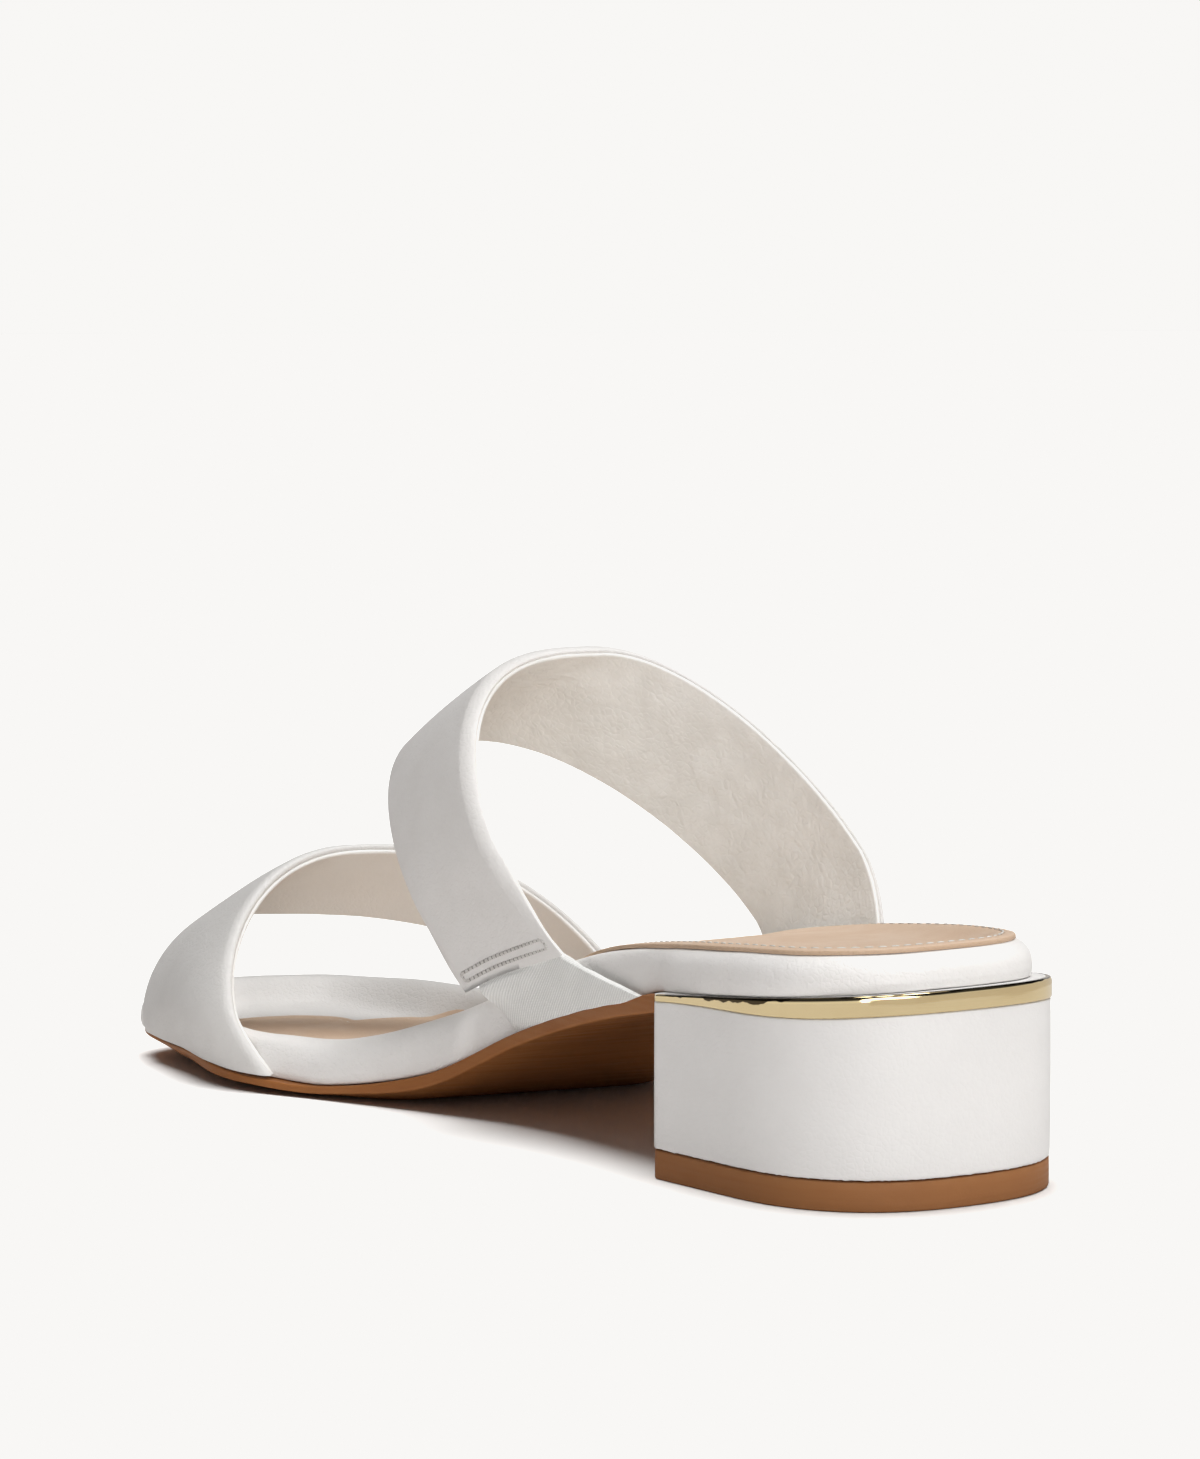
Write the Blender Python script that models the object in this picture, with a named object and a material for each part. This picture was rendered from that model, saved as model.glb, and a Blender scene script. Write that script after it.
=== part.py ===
"""Dress sandal for the right foot: padded footbed on a low block heel, two leather straps and an elastic gore.

World frame: the toe points to -Y, the inner (big-toe) side is +X and the floor is Z = 0.
Sizes are in millimetres. `along` runs from the back of the footbed to the toe, `across` is positive
on the inner side, and `height` is above the floor.
"""

import math
from collections import namedtuple

import bmesh
import bpy
from mathutils import Vector

MM = 0.001
GAP = 0.3

# Plan and side of the last: one row per section.
# inner, outer: half widths of the footbed; under: its underside; crest: top of its rolled rim on the
# inner side; tilt: how much higher the rim is on the outer side; dish: depth of the floor below crest.
Section = namedtuple("Section", "along inner outer under crest tilt dish")
LAST = [
    Section(2.6, 15.0, 16.6, 38.2, 44.9, 0.0, 2.2),
    Section(12.8, 26.6, 26.9, 37.3, 44.4, 0.0, 2.2),
    Section(32.0, 31.4, 30.6, 35.6, 43.3, 0.0, 1.8),
    Section(58.0, 25.2, 28.8, 32.0, 40.8, 0.0, 0.8),
    Section(84.0, 21.2, 28.2, 26.4, 36.4, 0.0, 0.8),
    Section(110.0, 18.4, 31.4, 18.7, 29.0, 0.0, 4.0),
    Section(135.0, 21.2, 37.6, 8.2, 19.6, 0.0, 6.8),
    Section(160.0, 28.9, 40.6, 2.7, 11.7, 1.2, 6.2),
    Section(178.0, 35.6, 38.8, 2.7, 11.0, 1.7, 5.7),
    Section(190.0, 37.0, 35.8, 3.4, 11.2, 1.9, 5.6),
    Section(203.0, 35.4, 32.3, 4.4, 11.8, 2.0, 5.5),
    Section(217.0, 32.6, 28.0, 5.0, 12.5, 1.7, 5.3),
    Section(229.0, 31.0, 20.5, 5.5, 13.6, 0.4, 5.4),
    Section(236.5, 26.0, 9.5, 6.0, 14.2, 0.0, 5.2),
]
FOOTBED_LENGTH = 241.0
HEEL_END_ACROSS = -1.5
TOE_END_ACROSS = 9.0
CENTRE_ALONG = 119.05
CENTRE_ACROSS = -1.6

# The ball line runs obliquely: the outer side reaches each height further back than the inner side.
BALL_SKEW = 12.0
SKEW_FROM = 85.0
SKEW_FULL = 125.0

# Sole
WELT = 1.0
SOLE_EDGE = 2.66
SOLE_CROWN = 1.3
SOLE_CLEAR = 0.2
TOE_TUCK = 1.8
TOE_BEVEL = 2.6
PLAN_STEPS = 54

# Heel
BREAST = 55.0
HEEL_HALF_WIDTH = 29.5
HEEL_ACROSS = -3.5
HEEL_OVERHANG = 2.4
HEEL_ROUND_FROM = 26.5
HEEL_FULLNESS = 2.6
HEEL_CORNER = 2.0
HEEL_TOP_BACK = 38.15
HEEL_TOP_SLOPE = -0.09
SEAT_EASE = 14.0
LIFT_HEIGHT = 5.55

# Metal band on the heel
BAND_HEIGHT = 3.5
BAND_TIP = 1.1
BAND_DROP = 0.4
BAND_WALL = 1.0
BAND_PROUD = 0.25
BAND_FROM = 53.2

# Footbed rim and sock
RIM_RADIUS = 4.5
DISH_WIDTH = 8.0
STRAP_SEAT = 1.4
SOCK_THICKNESS = 0.8
SOCK_GAP = 0.45
SOCK_INSET_HEEL = 4.8
SOCK_INSET_TOE = 11.0
SOCK_SHORT = 16.0
SOCK_LATE = 55.0

# Straps: one row per edge of a strap.
# inner_foot, outer_foot: where the edge meets the sole; lean: forward travel per mm of rise;
# bow: extra forward travel at the top; ridge: across position of the highest point;
# spring: height the curve springs from; rise: its height above that;
# tuck_in, tuck_out: how far the curve turns under, in radians; drop: straight run beside the footbed.
Edge = namedtuple("Edge", "inner_foot outer_foot lean bow ridge spring rise tuck_in tuck_out drop")
TOE_FRONT = Edge(221.6, 169.5, 0.3, 2.3, 9.8, 7.5, 24.2, 0.10, 0.20, 0.0)
TOE_BACK = Edge(172.8, 146.4, 0.7, 1.1, 2.4, 14.3, 32.6, 0.40, 0.30, 0.0)
INSTEP_FRONT = Edge(124.0, 90.4, 0.9, 8.5, -1.8, 38.5, 33.8, 0.50, 0.20, 9.2)
INSTEP_BACK = Edge(91.6, 55.8, 0.68, 12.1, -7.9, 54.3, 37.3, 0.60, 0.50, 6.0)
Fullness = namedtuple("Fullness", "inner height outer")
TOE_FULLNESS = Fullness(1.95, 1.7, 2.63)
INSTEP_FULLNESS = Fullness(2.6, 1.64, 1.98)
STRAP_WALL = 2.0
STRAP_CROWN = 0.8
STRAP_STEPS = 44

# Elastic gore
GORE_WALL = 1.4
GORE_FRONT = 108.5
GORE_BACK = 61.5
GORE_LAP = 0.10


def place(along, across, height):
    """World position, in metres, of a point given in the sandal's own millimetres."""
    return Vector(((across - CENTRE_ACROSS) * MM, (CENTRE_ALONG - along) * MM, height * MM))


def smooth(x):
    x = min(max(x, 0.0), 1.0)
    return x * x * (3 - 2 * x)


def curve_at(knots, values, x):
    """Smooth curve through the table's values, with slopes taken from the neighbouring rows."""
    if x <= knots[0]:
        return values[0]
    if x >= knots[-1]:
        return values[-1]
    k = max(i for i in range(len(knots) - 1) if knots[i] <= x)

    def slope(i):
        low, high = max(i - 1, 0), min(i + 1, len(knots) - 1)
        return (values[high] - values[low]) / (knots[high] - knots[low])

    span = knots[k + 1] - knots[k]
    t = (x - knots[k]) / span
    return (
        values[k] * (1 + 2 * t) * (1 - t) ** 2
        + slope(k) * span * t * (1 - t) ** 2
        + values[k + 1] * t * t * (3 - 2 * t)
        + slope(k + 1) * span * t * t * (t - 1)
    )


def last_at(column, along):
    return curve_at([row.along for row in LAST], [getattr(row, column) for row in LAST], along)


def heel_top(along):
    return HEEL_TOP_BACK + HEEL_TOP_SLOPE * along


def level_at(column, along, across):
    """A height of the last, read further forward on the outer side, where the ball lies further back."""
    eased = smooth((along - SKEW_FROM) / (SKEW_FULL - SKEW_FROM))
    share = min(max((20.0 - across) / 57.0, 0.0), 1.0)
    return last_at(column, along + BALL_SKEW * eased * share)


def under_at(along, across):
    """Underside of the footbed: the heel seat behind the breast, easing into the last's own line."""
    seat = heel_top(along) + GAP
    return seat + (level_at("under", along, across) - seat) * smooth((along - BREAST) / SEAT_EASE)


def side_path(side):
    """Half of the footbed's outline in plan, from the back of the heel to the tip of the toe."""
    sign = 1 if side == "inner" else -1
    other = "outer" if side == "inner" else "inner"
    points = [Vector((0.0, HEEL_END_ACROSS))]
    points += [Vector((row.along, sign * getattr(row, side))) for row in LAST]
    points.append(Vector((FOOTBED_LENGTH, TOE_END_ACROSS)))
    beyond = [Vector((row.along, -sign * getattr(row, other))) for row in (LAST[0], LAST[-1])]
    guide = [beyond[0]] + points + [beyond[1]]
    fine = []
    for a, b, c, d in zip(guide, guide[1:], guide[2:], guide[3:]):
        fine += [spline(a, b, c, d, k / 12) for k in range(12)]
    return fine + [points[-1]]


def spline(a, b, c, d, t):
    """Centripetal curve from b to c."""
    ta, tb = 0.0, (b - a).length ** 0.5
    tc = tb + (c - b).length ** 0.5
    td = tc + (d - c).length ** 0.5
    x = tb + t * (tc - tb)
    ab = a * ((tb - x) / (tb - ta)) + b * ((x - ta) / (tb - ta))
    bc = b * ((tc - x) / (tc - tb)) + c * ((x - tb) / (tc - tb))
    cd = c * ((td - x) / (td - tc)) + d * ((x - tc) / (td - tc))
    abc = ab * ((tc - x) / (tc - ta)) + bc * ((x - ta) / (tc - ta))
    bcd = bc * ((td - x) / (td - tb)) + cd * ((x - tb) / (td - tb))
    return abc * ((tc - x) / (tc - tb)) + bcd * ((x - tb) / (tc - tb))


def evenly(path, steps):
    """The same path as steps + 1 evenly spaced points."""
    runs = [0.0]
    for a, b in zip(path, path[1:]):
        runs.append(runs[-1] + (b - a).length)
    out, k = [], 0
    for step in range(steps + 1):
        run = runs[-1] * step / steps
        while k < len(path) - 2 and runs[k + 1] < run:
            k += 1
        t = (run - runs[k]) / max(runs[k + 1] - runs[k], 1e-9)
        out.append(path[k].lerp(path[k + 1], min(t, 1.0)))
    return out


class Plan:
    """A closed outline in plan as two paired halves, which can be grown, inset and drawn at any height."""

    def __init__(self, inner, outer, back_margin=24.0, toe_margin=42.0):
        self.inner, self.outer = inner, outer
        low, high = inner[0].x + back_margin, inner[-1].x - toe_margin
        self.spine = []
        for a, b in zip(inner, outer):
            middle = (a + b) / 2
            self.spine.append(Vector((min(max(middle.x, low), high), middle.y)))

    def points(self, inset):
        """The outline moved inwards by inset(along, across) millimetres, as one loop."""
        halves = []
        for half in (self.inner, self.outer):
            moved = []
            for point, spine in zip(half, self.spine):
                way = spine - point
                moved.append(point + way * (inset(point.x, point.y) / way.length))
            halves.append(moved)
        return halves[0] + halves[1][-2:0:-1]

    def ring(self, inset, height):
        return [place(p.x, p.y, height(p.x, p.y)) for p in self.points(inset)]

    def spine_ring(self, height):
        loop = self.spine + self.spine[-2:0:-1]
        return [place(p.x, p.y, height(p.x, p.y)) for p in loop]


def footbed_plan():
    return Plan(evenly(side_path("inner"), PLAN_STEPS), evenly(side_path("outer"), PLAN_STEPS))


def sole_plan():
    """The footbed's plan from the heel breast to the toe, closed straight across the breast."""
    start = BREAST + GAP + WELT
    halves = []
    for side, sign in (("inner", 1), ("outer", -1)):
        path = [p for p in side_path(side) if p.x > start + 0.5]
        corner = Vector((start, sign * last_at(side, start)))
        straight = [Vector((start, corner.y * k / 4)) for k in range(4)]
        halves.append(straight + evenly([corner] + path, PLAN_STEPS - 4))
    return Plan(halves[0], halves[1])


def material(name, colour, roughness, metallic=0.0):
    made = bpy.data.materials.new(name)
    made.use_nodes = True
    shader = made.node_tree.nodes["Principled BSDF"]
    shader.inputs["Base Color"].default_value = (*colour, 1.0)
    shader.inputs["Roughness"].default_value = roughness
    shader.inputs["Metallic"].default_value = metallic
    return made


def loft(name, rings, finish):
    """A closed solid through loops of equal count, with the first and the last loop filled."""
    mesh = bmesh.new()
    index = mesh.verts.layers.int.new("index")
    circle = bmesh.ops.create_circle(mesh, segments=len(rings[0]), radius=1.0)["verts"]
    for i, vert in enumerate(circle):
        vert[index] = i
    verts, edges = circle, list(mesh.edges)
    first = edges
    for number, ring in enumerate(rings):
        if number:
            grown = bmesh.ops.extrude_edge_only(mesh, edges=edges)["geom"]
            verts = [g for g in grown if isinstance(g, bmesh.types.BMVert)]
            fresh = set(verts)
            edges = [g for g in grown if isinstance(g, bmesh.types.BMEdge) and fresh.issuperset(g.verts)]
        for vert in verts:
            vert.co = ring[vert[index]]
    for loop in (first, edges):
        if len({tuple(round(c, 7) for c in v.co) for e in loop for v in e.verts}) > len(loop) * 0.75:
            bmesh.ops.holes_fill(mesh, edges=loop)
    bmesh.ops.remove_doubles(mesh, verts=mesh.verts, dist=0.004 * MM)
    bmesh.ops.recalc_face_normals(mesh, faces=mesh.faces)
    for face in mesh.faces:
        face.smooth = True
    data = bpy.data.meshes.new(name)
    mesh.to_mesh(data)
    mesh.free()
    data.materials.append(finish)
    obj = bpy.data.objects.new(name, data)
    bpy.context.scene.collection.objects.link(obj)
    return obj


def add_outsole(finish):
    """Thin sole, flat across its middle, raised a little at its edges and bevelled under the toe."""
    plan = sole_plan()

    def top(along, across):
        return under_at(along, across) - 1.5 * GAP

    def raw_bottom(along, across):
        return level_at("under", along, across) - 1.5 * GAP - SOLE_EDGE

    def rim_bottom(along, across):
        return max(SOLE_CLEAR, raw_bottom(along, across))

    def middle_bottom(along, across):
        return max(0.0, raw_bottom(along, across) - SOLE_CROWN * smooth((along - 120) / 30))

    def out(distance, bevelled=0.0):
        """Inset from the sole's edge, which tucks in under the toe; bevelled is its share of the bevel."""

        def inset(along, across):
            welt = WELT - TOE_TUCK * smooth((along - 205) / 28)
            return distance - welt + bevelled * TOE_BEVEL * smooth((along - 190) / 40)

        return inset

    def blend(along, across):
        return middle_bottom(along, across) * 0.65 + rim_bottom(along, across) * 0.35

    rings = [plan.spine_ring(middle_bottom), plan.ring(out(9.0), middle_bottom), plan.ring(out(5.0), blend)]
    rings.append(plan.ring(out(0.3, 1.0), rim_bottom))
    rings.append(plan.ring(out(0.0, 0.75), lambda a, c: rim_bottom(a, c) + 0.4))
    rings.append(plan.ring(out(0.0), lambda a, c: top(a, c) - 0.4))
    rings.append(plan.ring(out(0.3), top))
    rings.append(plan.spine_ring(top))
    return loft("outsole", rings, finish)


def strap_seat(along, across):
    """Depth of the shallow seats in the footbed's wall where the straps and the gore pass down."""
    if across > 0:
        spans = ((TOE_BACK.inner_foot, TOE_FRONT.inner_foot), (GORE_BACK, GORE_FRONT + 12))
    else:
        spans = ((TOE_BACK.outer_foot, TOE_FRONT.outer_foot), (INSTEP_BACK.outer_foot, INSTEP_FRONT.outer_foot))
    depth = 0.0
    for low, high in spans:
        depth = max(depth, smooth((along - low + 5) / 4) * smooth((high + 5 - along) / 4))
    return STRAP_SEAT * depth


def footbed_top(inset, along, across):
    """Height of the footbed's surface at a distance in from its edge: rolled rim, then the dish."""
    crest = level_at("crest", along, across)
    floor = crest - level_at("dish", along, across)
    crest += level_at("tilt", along, across) * smooth((15.0 - across) / 40.0)
    if inset < RIM_RADIUS:
        out = 1 - inset / RIM_RADIUS
        return crest - 0.9 * RIM_RADIUS * (1 - math.sqrt(1 - out * out))
    fall = 1 - min((inset - RIM_RADIUS) / DISH_WIDTH, 1.0)
    return floor + (crest - floor) * fall * fall


def add_footbed(finish):
    plan = footbed_plan()

    def inset(distance):
        return lambda along, across: distance + strap_seat(along, across) * max(0.0, 1 - distance / 3.0)

    rings = [plan.spine_ring(under_at), plan.ring(inset(1.2), under_at)]
    rings.append(plan.ring(inset(0.3), lambda a, c: under_at(a, c) + 0.5))
    for distance in (0.0, 0.25, 0.9, 2.2, RIM_RADIUS, 6.5, 8.5, 10.5, RIM_RADIUS + DISH_WIDTH):
        rings.append(plan.ring(inset(distance), lambda a, c, d=distance: footbed_top(d, a, c)))
    rings.append(plan.spine_ring(lambda a, c: footbed_top(99.0, a, c)))
    return loft("footbed", rings, finish)


def sock_inset(along, across):
    """Distance of the sock's edge from the footbed's edge: wider from the ball on, widest at the toe."""
    start = 50 + SOCK_LATE * smooth(-across / 20)
    sides = SOCK_INSET_HEEL + (SOCK_INSET_TOE - SOCK_INSET_HEEL) * smooth((along - start) / 90)
    return sides + SOCK_SHORT * smooth((along - 212) / 22)


def add_sock_lining(finish):
    """Thin sock that follows the dish of the footbed."""
    plan = footbed_plan()
    rings = []

    def level(share, lift):
        """Share runs from the sock's edge (0) to the flat of the dish (1)."""

        def inset(along, across):
            edge = sock_inset(along, across)
            return edge + max(RIM_RADIUS + DISH_WIDTH - edge, 2.0) * share

        moved, edge = plan.points(inset), plan.points(lambda a, c: 0.0)
        return [
            place(p.x, p.y, footbed_top(inset(q.x, q.y), p.x, p.y) + SOCK_GAP + lift) for p, q in zip(moved, edge)
        ]

    def middle(lift):
        return plan.spine_ring(lambda a, c: footbed_top(99.0, a, c) + SOCK_GAP + lift)

    rings.append(middle(0.0))
    rings += [level(d, 0.0) for d in (1.0, 0.55, 0.25, 0.0)]
    rings.append(level(0.0, SOCK_THICKNESS - 0.25))
    rings += [level(d, SOCK_THICKNESS) for d in (0.05, 0.25, 0.55, 1.0)]
    rings.append(middle(SOCK_THICKNESS))
    return loft("sock_lining", rings, finish)


def heel_plan(grow):
    """D-shaped outline of the heel: straight breast with rounded corners, full rounded back."""
    half, back = HEEL_HALF_WIDTH + grow, HEEL_ROUND_FROM + HEEL_OVERHANG + grow
    side = []
    for step in range(4):
        side.append((BREAST, (half - HEEL_CORNER) * step / 4))
    for step in range(5):
        turn = math.pi / 2 * step / 4
        side.append((BREAST - HEEL_CORNER * (1 - math.cos(turn)), half - HEEL_CORNER * (1 - math.sin(turn))))
    straight = BREAST - HEEL_CORNER - HEEL_ROUND_FROM
    side += [(BREAST - HEEL_CORNER - straight * step / 6, half) for step in range(1, 6)]
    for step in range(1, 25):
        turn = math.pi / 2 * step / 24
        power = 2 / HEEL_FULLNESS
        side.append((HEEL_ROUND_FROM - back * math.sin(turn) ** power, half * math.cos(turn) ** power))
    loop = side + [(a, -c) for a, c in side[-2:0:-1]]
    return [(a, c + HEEL_ACROSS) for a, c in loop]


def heel_ring(grow, height):
    return [place(a, c, height(a)) for a, c in heel_plan(grow)]


def add_top_lift(finish):
    levels = ((-0.5, 0.0), (-0.1, 0.4), (0.0, 2.0), (0.0, LIFT_HEIGHT - GAP - 0.3), (-0.3, LIFT_HEIGHT - GAP))
    return loft("top_lift", [heel_ring(g, lambda a, z=z: z) for g, z in levels], finish)


def band_path(grow):
    """Outline of the heel from one front corner round the back to the other, with the band's height."""
    loop = [(a, c) for a, c in heel_plan(grow)]
    inner = [p for p in loop if p[0] < BAND_FROM]
    return [(a, c, BAND_TIP + (BAND_HEIGHT - BAND_TIP) * smooth((BAND_FROM - a) / 46)) for a, c in inner]


def band_rings(outside, inside, margin):
    """Upright sections of the band; margin widens them for the seat cut in the heel."""
    rings = []
    for (a, c, tall), (b, d, _) in zip(band_path(outside), band_path(inside)):
        top = heel_top(a) - BAND_DROP + margin
        low = heel_top(a) - BAND_DROP - tall - margin
        soft = min(0.3, 0.2 * tall)
        rings.append([
            place(b, d, low), place(a, c, low + soft), place(a + (a - b) * 0.25, c + (c - d) * 0.25, (low + top) / 2),
            place(a, c, top - soft), place(b, d, top),
        ])
    return rings


def add_heel_band(finish):
    return loft("heel_band", band_rings(BAND_PROUD, BAND_PROUD - BAND_WALL, 0.0), finish)


def add_heel_block(finish):
    def top(along):
        return heel_top(along)

    rings = [heel_ring(-0.3, lambda a: LIFT_HEIGHT), heel_ring(0.15, lambda a: LIFT_HEIGHT + 0.4)]
    rings.append(heel_ring(0.2, lambda a: (LIFT_HEIGHT + top(a)) / 2))
    rings.append(heel_ring(0.3, lambda a: top(a) - 0.7))
    rings.append(heel_ring(-0.3, top))
    block = loft("heel_block", rings, finish)
    cutter = loft("heel_band_seat", band_rings(3.0, BAND_PROUD - BAND_WALL - GAP, GAP), finish)
    cutter.hide_render = True
    cutter.display_type = "WIRE"
    seat = block.modifiers.new("band seat", "BOOLEAN")
    seat.operation = "DIFFERENCE"
    seat.solver = "EXACT"
    seat.object = cutter
    return block


def power(value, exponent):
    return math.copysign(abs(value) ** (2 / exponent), value)


def edge_point(edge, fullness, t):
    """A point on a strap's edge, t running from its inner foot (0) over the foot to its outer foot (1)."""

    def plain(at):
        turn = -edge.tuck_in + (math.pi + edge.tuck_in + edge.tuck_out) * at
        shape = fullness.inner if math.cos(turn) > 0 else fullness.outer
        return power(math.cos(turn), shape), power(math.sin(turn), fullness.height)

    reach, lift = plain(t)
    inner_reach, inner_lift = plain(0.0)
    outer_reach, outer_lift = plain(1.0)
    inner = last_at("inner", edge.inner_foot) + WELT
    outer = -last_at("outer", edge.outer_foot) - WELT
    if reach > 0:
        across = edge.ridge + (inner - edge.ridge) * reach / inner_reach
    else:
        across = edge.ridge + (outer - edge.ridge) * reach / outer_reach
    height = edge.spring + edge.rise * lift
    settle = {0: edge.inner_foot, 1: edge.outer_foot}
    for end, foot in settle.items():
        if end or not edge.drop:
            natural = edge.spring + edge.rise * (outer_lift if end else inner_lift)
            near = max(0.0, 1 - 2 * abs(t - end))
            side = outer if end else inner
            height += (under_at(foot, side) + 0.2 + edge.drop * end - natural) * near * near
    chord = edge.spring + edge.rise * (inner_lift + (outer_lift - inner_lift) * t)
    share = (inner - across) / (inner - outer)
    along = edge.inner_foot + (edge.outer_foot - edge.inner_foot) * share
    along += edge.lean * (height - chord) + edge.bow * math.sin(math.pi * t) ** 2
    return Vector((along, across, height))


class Strap:
    """A leather strap between its front and its back edge."""

    def __init__(self, front, back, fullness):
        self.front, self.back, self.fullness = front, back, fullness

    def bulge(self, t, s):
        """How far the footbed's curved side carries the strap off the straight line between its feet."""
        side = "inner" if t < 0.5 else "outer"
        front, back = getattr(self.front, side + "_foot"), getattr(self.back, side + "_foot")
        along = front + (back - front) * s
        across = last_at(side, along) - last_at(side, front) * (1 - s) - last_at(side, back) * s
        edge = last_at(side, along) * (1 if side == "inner" else -1)
        height = under_at(along, edge) - under_at(front, edge) * (1 - s) - under_at(back, edge) * s
        near = min(t, 1 - t)
        hold = 0.02 if self.front.drop else 0.1
        share = 1 - smooth((near - hold) / 0.25)
        return Vector((0.0, across if side == "inner" else -across, height)) * share

    def plain(self, t, s):
        front = edge_point(self.front, self.fullness, t)
        back = edge_point(self.back, self.fullness, t)
        return front.lerp(back, s) + self.bulge(t, s)

    def facing(self, t, s):
        """Outward direction of the strap's skin."""
        low, high = max(t - 0.01, 0.0), min(t + 0.01, 1.0)
        fore, aft = max(s - 0.02, 0.0), min(s + 0.02, 1.0)
        rising = self.plain(high, s) - self.plain(low, s)
        return (self.plain(t, aft) - self.plain(t, fore)).cross(rising).normalized()

    def skin(self, t, s):
        """Outer face: t over the foot, s from the front edge (0) to the back edge (1)."""
        return self.plain(t, s) + self.facing(t, s) * (STRAP_CROWN * 4 * s * (1 - s))

    def section(self, t, wall, inward=0.0, span=(0.0, 1.0)):
        """Closed section of the strap at t, wall thick, lying inward of its outer face."""
        shares = (0.0, 0.03, 0.2, 0.4, 0.6, 0.8, 0.97, 1.0)
        easing = (0.32, 0.06, 0.0, 0.0, 0.0, 0.0, 0.06, 0.32)
        outside, inside = [], []
        for share, ease in zip(shares, easing):
            s = span[0] + (span[1] - span[0]) * share
            point, normal = self.skin(t, s), self.facing(t, s)
            outside.append(point - normal * (inward + wall * ease))
            inside.append(point - normal * (inward + wall * (1 - ease)))
        return outside + inside[::-1]


def strap_rings(strap):
    rings = [strap.section(k / STRAP_STEPS, STRAP_WALL) for k in range(STRAP_STEPS + 1)]
    if strap.front.drop:
        last = rings[-1]
        half = len(last) // 2
        foot = []
        for number, point in enumerate(last):
            share = (number if number < half else len(last) - 1 - number) / (half - 1)
            fall = strap.front.drop + (strap.back.drop - strap.front.drop) * share
            foot.append(point - Vector((0, 0, fall)))
        rings += [[a.lerp(b, k / 2) for a, b in zip(last, foot)] for k in (1, 2)]
    return [[place(*point) for point in ring] for ring in rings]


def add_strap(name, strap, finish):
    return loft(name, strap_rings(strap), finish)


def add_elastic_gore(strap, finish):
    """Woven elastic, lapped behind the instep strap's inner end and running down to the sole."""
    span = (0.13, 0.97)
    lap = [strap.section(t, GORE_WALL, STRAP_WALL + GAP, span) for t in (GORE_LAP, GORE_LAP / 2, 0.0)]
    top = lap[-1]
    half = len(top) // 2
    foot = []
    for number in range(len(top)):
        outside = number < half
        share = (number if outside else len(top) - 1 - number) / (half - 1)
        along = GORE_FRONT + (GORE_BACK - GORE_FRONT) * share
        across = last_at("inner", along) + WELT - (0.0 if outside else GORE_WALL)
        foot.append(Vector((along, across, under_at(along, across) + 0.2)))
    rings = lap + [[a.lerp(b, k) for a, b in zip(top, foot)] for k in (0.25, 0.5, 0.75, 1.0)]
    return loft("elastic_gore", [[place(*p) for p in ring] for ring in rings], finish)


def main():
    for obj in list(bpy.data.objects):
        bpy.data.objects.remove(obj)
    white = material("white_leather", (0.80, 0.79, 0.77), 0.5)
    heel_white = material("heel_leather", (0.82, 0.81, 0.80), 0.45)
    bed_white = material("footbed_leather", (0.80, 0.79, 0.77), 0.5)
    add_outsole(material("brown_sole", (0.26, 0.12, 0.05), 0.55))
    add_top_lift(material("brown_lift", (0.27, 0.13, 0.06), 0.5))
    add_heel_block(heel_white)
    add_heel_band(material("gold_metal", (0.83, 0.66, 0.32), 0.15, 1.0))
    add_footbed(bed_white)
    add_sock_lining(material("tan_leather", (0.66, 0.44, 0.27), 0.6))
    instep = Strap(INSTEP_FRONT, INSTEP_BACK, INSTEP_FULLNESS)
    add_strap("toe_strap", Strap(TOE_FRONT, TOE_BACK, TOE_FULLNESS), white)
    add_strap("instep_strap", instep, material("instep_leather", (0.80, 0.79, 0.77), 0.5))
    add_elastic_gore(instep, material("white_elastic", (0.82, 0.82, 0.81), 0.85))


main()
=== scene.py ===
"""Looks of a dress sandal for the right foot.

A padded footbed stands on a thin sole and a low block heel, under two leather straps and an elastic gore.

World frame, in metres: the toe points to -Y, the inner (big-toe) side is +X and the floor is Z = 0.
Sizes in this file are the sandal's own millimetres: `along` runs from the back of the footbed to the
toe, `across` is positive on the inner side, and `height` is above the floor.
"""

import logging
import math
from collections.abc import Callable, Sequence
from dataclasses import dataclass, field
from enum import Enum
from functools import cached_property

import bmesh
import bpy
from mathutils import Matrix, Vector, noise


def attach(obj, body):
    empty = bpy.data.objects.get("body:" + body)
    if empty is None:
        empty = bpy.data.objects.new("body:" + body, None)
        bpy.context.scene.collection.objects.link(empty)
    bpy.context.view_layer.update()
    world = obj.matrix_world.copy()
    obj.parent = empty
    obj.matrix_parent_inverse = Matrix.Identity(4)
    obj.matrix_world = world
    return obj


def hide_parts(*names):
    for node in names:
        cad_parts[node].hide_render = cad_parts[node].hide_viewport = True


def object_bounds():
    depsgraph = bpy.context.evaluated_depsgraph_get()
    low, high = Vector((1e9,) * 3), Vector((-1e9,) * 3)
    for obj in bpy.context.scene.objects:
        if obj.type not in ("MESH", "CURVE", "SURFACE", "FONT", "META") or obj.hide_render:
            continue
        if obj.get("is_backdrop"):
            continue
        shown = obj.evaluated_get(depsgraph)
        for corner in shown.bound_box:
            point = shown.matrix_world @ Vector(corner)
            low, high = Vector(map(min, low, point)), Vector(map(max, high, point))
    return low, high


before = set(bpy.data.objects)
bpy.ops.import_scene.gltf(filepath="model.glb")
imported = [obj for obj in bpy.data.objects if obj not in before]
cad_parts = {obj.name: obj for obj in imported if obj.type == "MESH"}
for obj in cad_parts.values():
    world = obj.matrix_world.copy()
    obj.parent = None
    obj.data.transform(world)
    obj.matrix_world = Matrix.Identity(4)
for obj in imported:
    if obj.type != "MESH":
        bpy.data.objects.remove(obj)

LOG = logging.getLogger("sandal")
MM = 0.001

# The place in plan that lies on the world's origin.
CENTRE_ALONG = 119.05
CENTRE_ACROSS = -1.6

# Scale of a wave texture that gives one band a metre.
ONE_BAND = 0.314

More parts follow.
